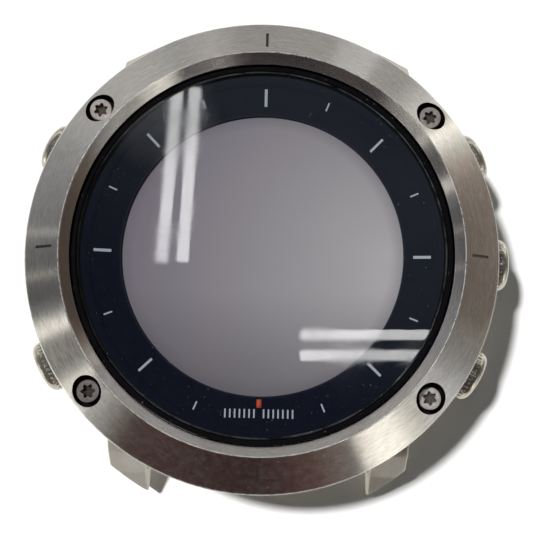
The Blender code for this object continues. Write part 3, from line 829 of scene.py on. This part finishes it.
# Every finish by its name. A finish that the record has too goes by the record's name.
M = {
    "bezel_steel": brushed_steel((0.6, 0.59, 0.575), 0.18, edges=BEZEL_EDGES),
    "back_steel": brushed_steel((0.54, 0.53, 0.5), 0.34, anisotropy=0.5),
    # near-black dirt and painted shade for the walls and floors of the screw pockets
    "pocket_dirt_and_shade": moulded((0.006, 0.005, 0.005), 0.6, dust=0.08, specular=0.05),
    "case_steel": blasted_steel((0.66, 0.63, 0.56), 0.5, metallic=0.6),
    "pusher_steel": blasted_steel((0.6, 0.57, 0.5), 0.24, grain=5.0, metallic=0.9),
    "screw_steel": screw_steel((0.62, 0.57, 0.53), 0.3),
    "engraving_paint": moulded((0.012, 0.011, 0.011), 0.55),
    "rubbed_paint": moulded((0.06, 0.046, 0.032), 0.6),
    "worn_index": brushed_steel((0.36, 0.32, 0.31), 0.22),
    "crystal": mineral_glass(),
    "black_rubber": moulded((0.003, 0.003, 0.004), 0.5, dust=0.3, specular=0.1),
    "dial_print": dial_lacquer(),
    "dial_mark": print_ink((0.36, 0.375, 0.41)),
    "dial_marker": print_ink((0.5, 0.07, 0.03)),
    "display": display_film(),
    "white_plastic": moulded((0.7, 0.7, 0.67), 0.45),
    "dark_plastic": moulded((0.03, 0.03, 0.033), 0.45),
    "board_green": circuit_laminate(),
    "tin": bright_metal((0.62, 0.62, 0.6), 0.32),
    "gold": bright_metal((0.83, 0.62, 0.26), 0.25),
    "battery_foil": foil((0.4, 0.41, 0.43), 0.34),
    "spring_steel": bright_metal((0.5, 0.5, 0.5), 0.27, grain=9.0),
    "polyimide": moulded((0.42, 0.19, 0.03), 0.32),
}
for finish, made in M.items():
    made.name = f"{finish}_look"


# ---- the visible pieces


def make_bezel():
    """The steel cone with its rounded rim and ridge, four screw pockets and four index lines.

    The lines are filled with paint, apart from the one at 6 o'clock, which is nearly worn off.
    """
    corners = [
        (BEZEL_R, BEZEL_BOTTOM_Z, 0.12), (BEZEL_R, RIM_Z, 0.22), (RIDGE_R, RIDGE_Z, 0.09),
        (WINDOW_R, WINDOW_Z, 0.08), (WINDOW_R, LEDGE_Z, 0.0), (BEZEL_INNER_R, LEDGE_Z, 0.0),
        (BEZEL_INNER_R, BEZEL_BOTTOM_Z, 0.05),
    ]
    bezel = lathe("bezel_fine", corners, FINE, M["bezel_steel"])
    pockets = []
    for angle in SCREW_CLOCK:
        cutter = stepped("pocket", POCKET_R, SHAFT_HOLE_R, POCKET_FLOOR_Z, 11, 18, sides=72)
        # the pocket's cut faces take near-black dirt and painted shade
        cutter.data.materials.append(M["pocket_dirt_and_shade"])
        pockets.append(shifted(cutter, *on_clock(angle, SCREW_CIRCLE_R)))
    cut(bezel, pockets)
    slope = (RIDGE_Z - RIM_Z) / (BEZEL_R - RIDGE_R)
    lines = []
    fills = ("engraving_paint", "rubbed_paint", "worn_index", "engraving_paint")
    for angle, fill in zip((0, 90, 180, 270), fills):
        depth = WORN_INDEX_DEPTH if fill == "worn_index" else INDEX_DEPTH
        inner, outer = ((r, RIM_Z + (BEZEL_R - r) * slope - depth) for r in INDEX_R)
        half = INDEX_WIDTH / 2
        around = ((inner, -half), (outer, -half), (outer, half), (inner, half))
        rings = [[(r, y, z + lift) for (r, z), y in around] for lift in (0, 1)]
        line = capped(loft("line", rings))
        line.data.materials.append(M[fill])
        lines.append(rotated(line, 90 - angle))
    cut(bezel, lines)
    piece(bezel, "bezel_steel", "bezel")


def star(scale, z, sides):
    """A ring in the shape of a six-lobed recess."""
    return ring(lambda a: scale * (STAR_R + STAR_LOBE * math.cos(6 * a)), z, sides)


def screw(name, head_r, head_height, length, depth, turn):
    """A screw with a six-lobed recess, its head's top face at its origin and its shank down -Z."""
    outside = [(0, -length), (SHAFT_R - 0.3, -length), (SHAFT_R, -length + 0.3)]
    outside += [(SHAFT_R, -head_height), (head_r, -head_height), (head_r, -0.16)]
    outside += [(head_r - 0.02, -0.08), (head_r - 0.07, -0.02), (head_r - 0.14, 0)]
    recess = [(1.1, 0), (1.03, -0.02), (1.0, -0.08), (0.94, -depth), (0.6, -depth - 0.06)]
    rings = [circle(r, z, MEDIUM) for r, z in outside]
    rings += [star(scale, z, MEDIUM) for scale, z in recess]
    rings.append(circle(0, -depth - 0.16, MEDIUM))
    return rotated(loft(name, rings, M["screw_steel"]), turn)


def make_bezel_screws():
    head_height = HEAD_Z - POCKET_FLOOR_Z - CLEARANCE
    for number, (angle, turn) in enumerate(zip(SCREW_CLOCK, SCREW_TURNS), 1):
        name = f"bezel_screw_fine_{number}"
        made = screw(name, HEAD_R, head_height, HEAD_Z - SCREW_TIP_Z, STAR_DEPTH, turn)
        shifted(made, *on_clock(angle, SCREW_CIRCLE_R), HEAD_Z)
        piece(made, "screw_steel", f"bezel_screw_{number}")


def make_window():
    """The crystal with its ground edge (a painted highlight), its gasket, and the border printed
    under its edge.
    """
    low, high = CRYSTAL_Z
    profile = [(0, high), (CRYSTAL_R - 0.24, high), (CRYSTAL_R - 0.19, high - 0.015)]
    profile += [(CRYSTAL_R - 0.02, high - 0.2), (CRYSTAL_R, high - 0.26)]
    profile += [(CRYSTAL_R, low + 0.05), (CRYSTAL_R - 0.05, low), (0, low)]
    crystal = lathe("crystal_fine", profile, FINE, M["crystal"])
    piece(crystal, "crystal", "crystal")

    inner, outer = GASKET_WALL
    section = [
        (outer, GASKET_TOP_Z, 0.12), (outer, GASKET_FOOT_Z, 0.0),
        (DIAL_R + 0.1, GASKET_FOOT_Z, 0.0), (DIAL_R + 0.1, GASKET_FOOT_Z + 0.2, 0.0),
        (inner, GASKET_FOOT_Z + 0.2, 0.0), (inner, GASKET_TOP_Z, 0.12),
    ]
    gasket = lathe("gasket_fine", section, FINE, M["black_rubber"])
    piece(gasket, "black_rubber", "crystal_gasket")

    foot, shoulder, outside = BORDER_R
    border = [(outside, low - 0.04), (outside, low - 0.01), (shoulder, low - 0.01)]
    border += [(foot, low - 0.2), (foot, low - 0.22), (shoulder, low - 0.04)]
    piece(lathe("crystal_border", border, FINE, M["dial_print"]), "dial_print")


def dial_height(radius):
    share = (radius - OPENING_R) / (DIAL_R - OPENING_R)
    return OPENING_Z + share * (DIAL_RIM_Z - OPENING_Z)


def dial_bar(ends, width, angle, material, offset=0.0):
    """A printed bar that lies on the dished ring between two radii, offset to one side."""
    inner, outer = ends
    rows = []
    for lift in (0.0, PRINT_THICKNESS):
        row = []
        for r, side in ((inner, -1), (outer, -1), (outer, 1), (inner, 1)):
            row.append((r, offset + side * width / 2, dial_height(math.hypot(r, offset)) + lift))
        rows.append(row)
    bar = capped(loft("bar", rows))
    bar.data.materials.append(material)
    return rotated(bar, 90 - angle)


def make_dial():
    """The printed ring with its marks, the short scale at 6 o'clock and the orange marker."""
    corners = [
        (DIAL_R, DIAL_RIM_Z, 0.03), (DIAL_R, DIAL_RIM_Z - DIAL_THICKNESS, 0.0),
        (OPENING_R, OPENING_Z - DIAL_THICKNESS, 0.03), (OPENING_R, OPENING_Z, 0.06),
    ]
    ring = lathe("dial_ring_fine", corners, FINE, M["dial_print"])
    piece(ring, "dial_print", "dial_ring")

    ink = M["dial_mark"]
    bars = []
    for step in range(16):
        angle = step * 22.5
        if step % 2:
            bars.append(dial_bar(SHORT_MARK_R, THIN_MARK_WIDTH, angle, ink))
        elif angle != 180:
            width = QUARTER_MARK_WIDTH if step % 4 == 0 else LONG_MARK_WIDTH
            bars.append(dial_bar(LONG_MARK_R, width, angle, ink))
    for step in range(-7, 8):
        if step:
            bars.append(dial_bar(SCALE_MARK_R, THIN_MARK_WIDTH, 180, ink, SCALE_STEP * step))
    piece(joined("dial_marks", bars), "dial_print")
    marker = dial_bar(MARKER_R, MARKER_WIDTH, 180, M["dial_marker"])
    marker.name = "dial_marker"
    piece(marker, "dial_print")


def make_display():
    low, high = PANEL_Z
    corners = [(0, high, 0), (PANEL_R, high, 0.05), (PANEL_R, low, 0.05), (0, low, 0)]
    panel = lathe("display_fine", corners, FINE, M["display"])
    piece(panel, "display", "display_panel")


def make_horns():
    """The four strap horns, rounded along their edges. The first is the one at 4 o'clock."""
    outline = rounded(HORN_OUTLINE, steps=4)
    rows = [[(y, z, x) for y, z in outline] for x in (HORN_INNER_X, HORN_OUTER_X)]
    axes = Matrix(((0, 0, 1, 0), (-1, 0, 0, 0), (0, 1, 0, 0), (0, 0, 0, 1)))
    solid = moved(capped(loft("horn", rows)), axes)
    solid = bevelled(solid, 0.4, segments=4, angle=60)
    tip = shifted(drum("horn_tip", HORN_TIP_R, -1, 12, 256), 0, -HORN_TIP_Y)
    first = merged(combined(solid, tip, "INTERSECT"))
    first = bevelled(first, 0.25, segments=3, angle=50)
    hole = drum("bar_hole", STRAP_BAR_R, 11, HORN_INNER_X + STRAP_BAR_DEPTH)
    rotated(hole, 90, "Y")
    combined(first, shifted(hole, 0, -STRAP_BAR_Y, STRAP_BAR_Z))
    horns = [first]
    for side, end in ((-1, 1), (1, 1), (-1, -1)):
        twin = linked("horn", first.data.copy())
        horns.append(moved(twin, Matrix.Diagonal((side, -end, 1, 1))))
    return horns


def make_case():
    """The middle of the case with its horns, and the holes for pushers, screws and contacts."""
    corners = [
        (22.3, CASE_BOTTOM_Z, 0.15), (23.0, 1.5, 0.5), (23.9, 4.0, 2.0), (24.45, 6.6, 2.0),
        (DECK_R, 9.2, 1.5), (DECK_R, DECK_Z, 0.25), (COLLAR_R, DECK_Z, 0.0),
        (COLLAR_R, COLLAR_Z, 0.1), (COLLAR_BORE_R, COLLAR_Z, 0.1),
        (COLLAR_BORE_R, DECK_Z, 0.0), (CAVITY_R, DECK_Z - 0.3, 0.0), (CAVITY_R, SEAT_Z, 0.0),
        (SEAT_R, SEAT_Z, 0.0), (SEAT_R, CASE_BOTTOM_Z, 0.0),
    ]
    case = lathe("mid_case_fine", corners, FINE, M["case_steel"])
    gaps = []
    side = HORN_INNER_X + NEARLY
    for end in (-1, 1):
        ys = sorted((end * STRAP_WALL_Y, end * 30))
        gaps.append(block("gap", (-side, side), ys, (-1, STRAP_GAP_TOP_Z), bevel=0.3))
    holes = []
    for angle in PUSHER_CLOCK.values():
        profile = [(0, 29), (WELL_R + 0.3, 29), (WELL_R, WELL_MOUTH)]
        profile += [(WELL_R, WELL_FLOOR), (SLEEVE_R, WELL_FLOOR)]
        profile += [(SLEEVE_R, 17), (0, 17)]
        holes.append(along_radius(lathe("bore", profile, MEDIUM), angle))
    for angle in SCREW_CLOCK:
        thread = drum("thread", SHAFT_HOLE_R, SCREW_TIP_Z - 0.6, 12.5)
        holes.append(shifted(thread, *on_clock(angle, SCREW_CIRCLE_R)))
    for angle in BACK_SCREW_CLOCK:
        thread = drum("back_thread", SHAFT_HOLE_R, 1, 5)
        holes.append(shifted(thread, *on_clock(angle, BACK_SCREW_R)))
    half_width = CARRIER_HALF_WIDTH + CLEARANCE
    half_height = CARRIER_HALF_HEIGHT + CLEARANCE
    zs = (CONTACT_Z - half_height, CONTACT_Z + half_height)
    xs = (-26, CARRIER_X[1] + CLEARANCE)
    holes.append(block("carrier_pocket", xs, (-half_width, half_width), zs))
    pins = [contact_pin("pin", y, PIN_R + CLEARANCE, 17, 22) for y in PIN_Y]
    cut(case, gaps)
    for horn in make_horns():
        combined(case, horn, "UNION")
    cut(case, holes)
    cut(case, pins)
    piece(case, "case_steel", "mid_case")


def contact_pin(name, y, radius, low, high, material=None, round_over=0.0):
    """A round pin across the 9 o'clock wall, between two distances from the plane X = 0."""
    corners = [(0, high, 0), (radius, high, round_over), (radius, low, 0), (0, low, 0)]
    pin = lathe(name, corners, SMALL, material)
    return shifted(rotated(pin, -90, "Y"), 0, y, CONTACT_Z)


def make_contacts():
    ys = (-CARRIER_HALF_WIDTH, CARRIER_HALF_WIDTH)
    zs = (CONTACT_Z - CARRIER_HALF_HEIGHT, CONTACT_Z + CARRIER_HALF_HEIGHT)
    carrier = block("contact_carrier_fine", CARRIER_X, ys, zs, M["dark_plastic"], bevel=0.2)
    holes = [contact_pin("hole", y, PIN_R + CLEARANCE, 21, 25) for y in PIN_Y]
    cut(carrier, holes)
    piece(carrier, "dark_plastic", "contact_carrier")
    for number, y in enumerate(PIN_Y, 1):
        pin = contact_pin(f"charge_pin_fine_{number}", y, PIN_R, 16.8, 24.0, M["gold"], 0.25)
        piece(pin, "gold", f"charge_pin_{number}")


def fluted(radius, axial, share, sides):
    """A ring of a pusher's side. share is how deep its flutes are here, from 0 to 1."""
    depth = FLUTE_DEPTH * share
    return ring(lambda a: radius - depth * max(0.0, math.cos(FLUTES * a)) ** 0.7, axial, sides)


def make_pusher(key, angle):
    """A cap with a fluted side and a dished face, and its stem with the neck for its clip."""
    sides = 8 * FLUTES
    edge = [math.pi / 2 * k / 8 for k in range(9)]
    centre_r, centre_z = CAP_R - CAP_ROUND, PUSHER_FACE - CAP_ROUND
    profile = [(0, STEM_TIP), (STEM_R - 0.15, STEM_TIP), (STEM_R, STEM_TIP + 0.15)]
    profile += [(STEM_R, CLIP_NECK[0]), (CLIP_NECK_R, CLIP_NECK[0])]
    profile += [(CLIP_NECK_R, CLIP_NECK[1]), (STEM_R, CLIP_NECK[1])]
    profile += [(STEM_R, HOLLOW_END), (HOLLOW_R, HOLLOW_END)]
    profile += [(HOLLOW_R, CAP_INNER_END), (CAP_R - 0.1, CAP_INNER_END)]
    rings = [circle(r, z, sides) for r, z in profile]
    rings += [fluted(CAP_R, z, share, sides) for z, share in FLUTE_ENDS]
    for a in edge:
        r, z = centre_r + CAP_ROUND * math.cos(a), centre_z + CAP_ROUND * math.sin(a)
        rings.append(circle(r, z, sides))
    rings += [circle(1.5, PUSHER_FACE - 0.02, sides), circle(0, PUSHER_FACE - 0.05, sides)]
    cap = loft(f"pusher_fine_{key}", rings, M["pusher_steel"])
    name = f"pusher_{key}"
    piece(along_radius(cap, angle), "case_steel", name, body=name)


def spring_height(share):
    """Where a spring's wire is, along the radius, at a share of its length.

    The coils are spaced so that they lie evenly once the pusher is pressed.
    """
    low, high = SPRING_WIRE_ENDS
    pressed = low + (high - TRAVEL - low) * share
    below, above = low, high
    for _ in range(30):
        middle = (below + above) / 2
        t = (middle - low) / (high - low)
        if middle - TRAVEL * t * t * (3 - 2 * t) < pressed:
            below = middle
        else:
            above = middle
    return (below + above) / 2


def make_spring(key, angle):
    """A spring with one end on the case and one on the cap."""
    steps = int(SPRING_TURNS * SPRING_STEPS)
    rings = []
    for i in range(steps + 1):
        turn = math.tau * SPRING_TURNS * i / steps
        height = spring_height(i / steps)
        ring = []
        for k in range(SPRING_SIDES):
            a = math.tau * k / SPRING_SIDES
            r = SPRING_R + SPRING_WIRE_R * math.cos(a)
            z = height + SPRING_WIRE_R * math.sin(a)
            ring.append((r * math.cos(turn), r * math.sin(turn), z))
        rings.append(ring)
    tips = [tuple(sum(map(Vector, rings[i]), Vector()) / SPRING_SIDES) for i in (0, -1)]
    rings = [[tips[0]], *rings, [tips[1]]]
    made = along_radius(loft(f"spring_fine_{key}", rings, M["spring_steel"]), angle)
    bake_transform(made)
    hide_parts(f"spring_{key}")


def make_back():
    """The case back with its flats, its screws and the grille over the pressure sensor."""
    corners = [
        (0, BACK_Z, 0), (BACK_R, BACK_Z, 0.15), (BACK_R, 0.7, 0.3), (20.8, 0.0, 0.5),
        (0, 0, 0),
    ]
    back = lathe("case_back_fine", corners, FINE, M["back_steel"])
    flats = []
    for end in (-1, 1):
        flats.append(block("flat", (-25, 25), sorted((end * BACK_FLAT_Y, end * 25)), (-1, 3)))
    cutters = [shifted(stepped("port", *PORT_R, PORT_STEP_Z, -1, 3), 0, SENSOR_Y)]
    for angle in BACK_SCREW_CLOCK:
        pocket = stepped("pocket", SHAFT_HOLE_R, BACK_HEAD_R + 0.2, BACK_POCKET_Z, -1, 3)
        cutters.append(shifted(pocket, *on_clock(angle, BACK_SCREW_R)))
    cut(back, flats)
    cut(back, cutters)
    piece(back, "case_steel", "case_back")

    low, high = GRILLE_Z
    corners = [(0, high, 0), (GRILLE_R, high, 0), (GRILLE_R, low, 0.15), (0, low, 0)]
    grille = lathe("sensor_grille_fine", corners, MEDIUM, M["case_steel"])
    vents = [drum("vent", VENT_R, -1, 2) for _ in range(5)]
    for number, vent in enumerate(vents):
        shifted(vent, *on_clock(72 * number, VENT_CIRCLE_R))
    cut(grille, vents)
    piece(shifted(grille, 0, SENSOR_Y), "case_steel", "sensor_grille")

    for number, angle in enumerate(BACK_SCREW_CLOCK, 1):
        name = f"back_screw_fine_{number}"
        made = screw(name, BACK_HEAD_R, BACK_POCKET_Z - 0.2, 4.4, 0.3, 11 * number)
        rotated(made, 180, "X")
        shifted(made, *on_clock(angle, BACK_SCREW_R), 0.1)
        piece(made, "screw_steel", f"back_screw_{number}")


def finish_cad_nodes():
    """Every CAD node that still shows takes a full material in place of its plain one."""
    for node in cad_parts.values():
        for index, old in enumerate(node.data.materials):
            finish = old.name.split(".")[0] if old else "case_steel"
            node.data.materials[index] = M.get(finish, M["case_steel"])


# ---- studio

# What stands round the studio, as (clock angle in degrees, brightness, tint)
PAPER = (1.0, 1.0, 1.0)
CREAM = (1.0, 0.97, 0.87)
WOOD = (1.0, 0.84, 0.72)
BRONZE = (1.0, 0.7, 0.52)
CLOTH = (1.0, 0.56, 0.5)
WALL = (
    (0, 0.293, PAPER), (15, 0.316, PAPER), (17, 0.583, PAPER), (24.5, 0.747, PAPER),
    (26.5, 0.346, PAPER), (34, 0.255, PAPER), (41, 0.64, PAPER), (46.5, 0.641, CREAM),
    (48.5, 2.012, CREAM), (51, 1.484, CREAM), (54, 0.919, CREAM), (58, 0.663, WOOD),
    (63, 0.474, WOOD), (77, 0.486, WOOD), (90, 0.454, WOOD), (98, 0.552, WOOD),
    (106, 0.892, CREAM), (114, 1.035, PAPER), (118, 1.184, PAPER), (130, 1.063, CREAM),
    (134, 1.407, CREAM), (138, 1.847, CREAM), (149, 1.85, CREAM), (151, 0.24, PAPER),
    (156, 0.306, WOOD), (164, 0.174, CLOTH), (180, 0.051, CLOTH), (200, 0.078, CLOTH),
    (217, 0.107, CLOTH), (223, 0.141, WOOD), (228, 0.238, PAPER), (237.8, 0.42, PAPER),
    (239.4, 1.5, CREAM), (241.2, 0.95, CREAM), (242.6, 0.26, PAPER), (245.5, 0.037, PAPER),
    (250, 0.068, PAPER), (253, 0.256, PAPER), (255, 1.713, CREAM), (257, 1.667, CREAM),
    (259.5, 0.358, PAPER), (264, 0.115, PAPER), (269, 0.118, PAPER), (270, 0.692, CREAM),
    (271.5, 0.101, PAPER), (279.8, 0.122, PAPER), (281, 0.684, CREAM), (282.5, 0.117, PAPER),
    (297, 0.387, PAPER), (310, 0.564, PAPER), (323, 0.592, PAPER), (330, 0.554, PAPER),
    (339, 0.376, PAPER), (346, 0.558, PAPER), (354, 0.293, PAPER),
)
# The same for what stands lower, by the edge of the table
LOW_WALL = (
    (0, 0.456, CREAM), (20, 0.593, CREAM), (33, 0.531, CREAM), (42, 2.639, CREAM),
    (47, 1.3, CREAM), (53, 0.141, BRONZE), (62, 0.009, BRONZE), (90, 0.004, BRONZE),
    (101, 0.005, BRONZE), (114, 0.017, CREAM), (127, 0.079, CREAM), (134, 0.313, CREAM),
    (144, 3, CREAM), (149, 0.853, CREAM), (153, 0.07, WOOD), (165, 0.004, CLOTH),
    (195, 0.014, CLOTH), (208, 0.101, WOOD), (220, 0.048, CREAM), (234, 3, CREAM),
    (248, 2.069, CREAM), (256, 0.499, CREAM), (262, 0.045, CREAM), (283, 1.04, PAPER),
    (297, 0.355, PAPER), (310, 0.45, CREAM), (325, 0.406, CREAM), (345, 0.363, PAPER),
)
CEILING = (0.06, 0.06, 0.065)
NORTH_PANEL = (1.2, 1.16, 1.05)
EAST_SHADE = (0.07, 0.055, 0.04)
GROUND = (0.95, 0.93, 0.88)
BACKDROP = (1.0, 1.0, 1.0)
ROOM = (0.03, 0.03, 0.03)  # what the room adds to matt surfaces

# Tube lights that show in the crystal: (x, y, length, width, turn in degrees), 600 mm up
TUBES_Z = 600.0
TUBES = (
    (-73.5, 133.0, 130.0, 8.6, -93.2), (-59.2, 134.0, 131.0, 8.6, -92.4),
    (85.0, 18.6, 120.0, 7.2, 1.3), (85.0, 3.9, 120.0, 7.5, 1.3),
)
TUBE_RADIANCE = 11.0
KEY_TILT = 25.2  # degrees from straight above
KEY_CLOCK = 301.3
KEY_STRENGTH = 3.7
KEY_ANGLE = 5.0


# Where parts of the room begin and end, as x, y or z of a direction of length 1
LOW_WALL_TOP = (-0.07, 0.03)
PANELS_FROM = (0.12, 0.17)
NORTH_FROM = (0.55, 0.8)
EAST_FROM = (0.8, 0.92)
CEILING_FROM = (0.3, 0.5)
GROUND_TOP = (-0.32, -0.23)
LOW_WALL_TILT = 0.125
GROUND_TILT = 0.105


def surroundings(s, share, stops):
    """The colour of a table's stops at a share of the way round, as two ramps of half a turn."""
    halves = []
    for half in (0, 1):
        start = half * 180
        around = (*stops, (360, *stops[0][1:]))
        inside = [stop for stop in around if start <= stop[0] <= start + 180]
        ramp = s.node("ValToRGB", {0: s.math("MULTIPLY_ADD", share, 2.0, -half)})
        elements = ramp.color_ramp.elements
        elements.remove(elements[0])
        for index, (clock, level, tint) in enumerate(inside):
            stop = elements[0] if index == 0 else elements.new(1.0)
            stop.position = (clock - start) / 180
            stop.color = (*scaled(tint, level), 1)
        halves.append(ramp.outputs[0])
    return s.mix(s.math("GREATER_THAN", share, 0.5), *halves)


def make_world():
    """A room of pale and dark panels for reflections, and a plain pale backdrop for the camera."""
    world = bpy.data.worlds.new("studio")
    bpy.context.scene.world = world
    s = Shader(world)
    world.cycles.sampling_method = "NONE"
    direction = s.node("TexCoord").outputs["Generated"]
    x, y, z = s.node("SeparateXYZ", {0: direction}).outputs
    turn = s.math("DIVIDE", s.math("ARCTAN2", x, y), math.tau)
    share = s.math("FRACT", s.plus(turn, 1.0))
    height = s.math("MULTIPLY_ADD", y, LOW_WALL_TILT, z)
    low_wall, high_wall = (surroundings(s, share, stops) for stops in (LOW_WALL, WALL))
    wall = s.mix(s.range(height, *LOW_WALL_TOP), low_wall, high_wall)
    above = s.range(z, *PANELS_FROM)
    wall = s.mix(s.times(above, s.range(y, *NORTH_FROM)), wall, NORTH_PANEL)
    wall = s.mix(s.times(above, s.range(x, *EAST_FROM)), wall, EAST_SHADE)
    sky = s.mix(s.range(z, *CEILING_FROM), wall, CEILING)
    table = s.math("MULTIPLY_ADD", y, GROUND_TILT, z)
    room = s.mix(s.range(table, *GROUND_TOP), GROUND, sky)
    rays = s.node("LightPath").outputs
    shown = s.mix(rays["Is Glossy Ray"], ROOM, room)
    seen = s.mix(rays["Is Camera Ray"], shown, BACKDROP)
    s.done(s.node("Background", {0: seen, 1: 1.0}), "OutputWorld")


def make_lights():
    key = bpy.data.lights.new("key", "SUN")
    key.energy = KEY_STRENGTH
    key.angle = math.radians(KEY_ANGLE)
    lamp = linked("key", key)
    lamp.visible_glossy = False
    tilt = math.radians(KEY_TILT)
    source = Vector((*on_clock(KEY_CLOCK, math.sin(tilt)), math.cos(tilt)))
    lamp.rotation_euler = source.to_track_quat("Z", "Y").to_euler()
    lamp.location = source * 0.6
    for number, (x, y, length, width, turn) in enumerate(TUBES, 1):
        tube = bpy.data.lights.new(f"tube_{number}", "AREA")
        tube.shape = "RECTANGLE"
        tube.size = length * MM
        tube.size_y = width * MM
        tube.energy = TUBE_RADIANCE * math.pi * length * width * MM * MM
        stand = linked(f"tube_{number}", tube)
        stand.location = (x * MM, y * MM, TUBES_Z * MM)
        stand.rotation_euler = (0, 0, math.radians(turn))
        stand.visible_camera = False


def make_floor():
    bm = bmesh.new()
    bmesh.ops.create_grid(bm, x_segments=4, y_segments=4, size=1.5)
    bmesh.ops.translate(bm, vec=(0, 0, -0.00002), verts=bm.verts)
    floor = add("floor", bm, studio_floor())
    if floor.data.polygons[0].normal.z < 0:
        floor.data.flip_normals()
    floor.visible_glossy = False


def make_camera():
    data = bpy.data.cameras.new("camera")
    data.sensor_width = 36.0
    data.lens = 62.25
    data.clip_start = 0.01
    data.clip_end = 10.0
    camera = linked("camera", data)
    camera.location = (0.00064, -0.01303, 0.1136)
    camera.rotation_euler = [math.radians(a) for a in (6.41, -0.67, 1.24)]
    bpy.context.scene.camera = camera


make_camera()
make_world()
make_lights()
make_floor()
make_bezel()
make_bezel_screws()
make_window()
make_dial()
make_display()
make_case()
make_contacts()
for pusher, clock in PUSHER_CLOCK.items():
    make_pusher(pusher, clock)
    make_spring(pusher, clock)
make_back()
finish_cad_nodes()
bpy.context.scene.view_settings.view_transform = "Standard"
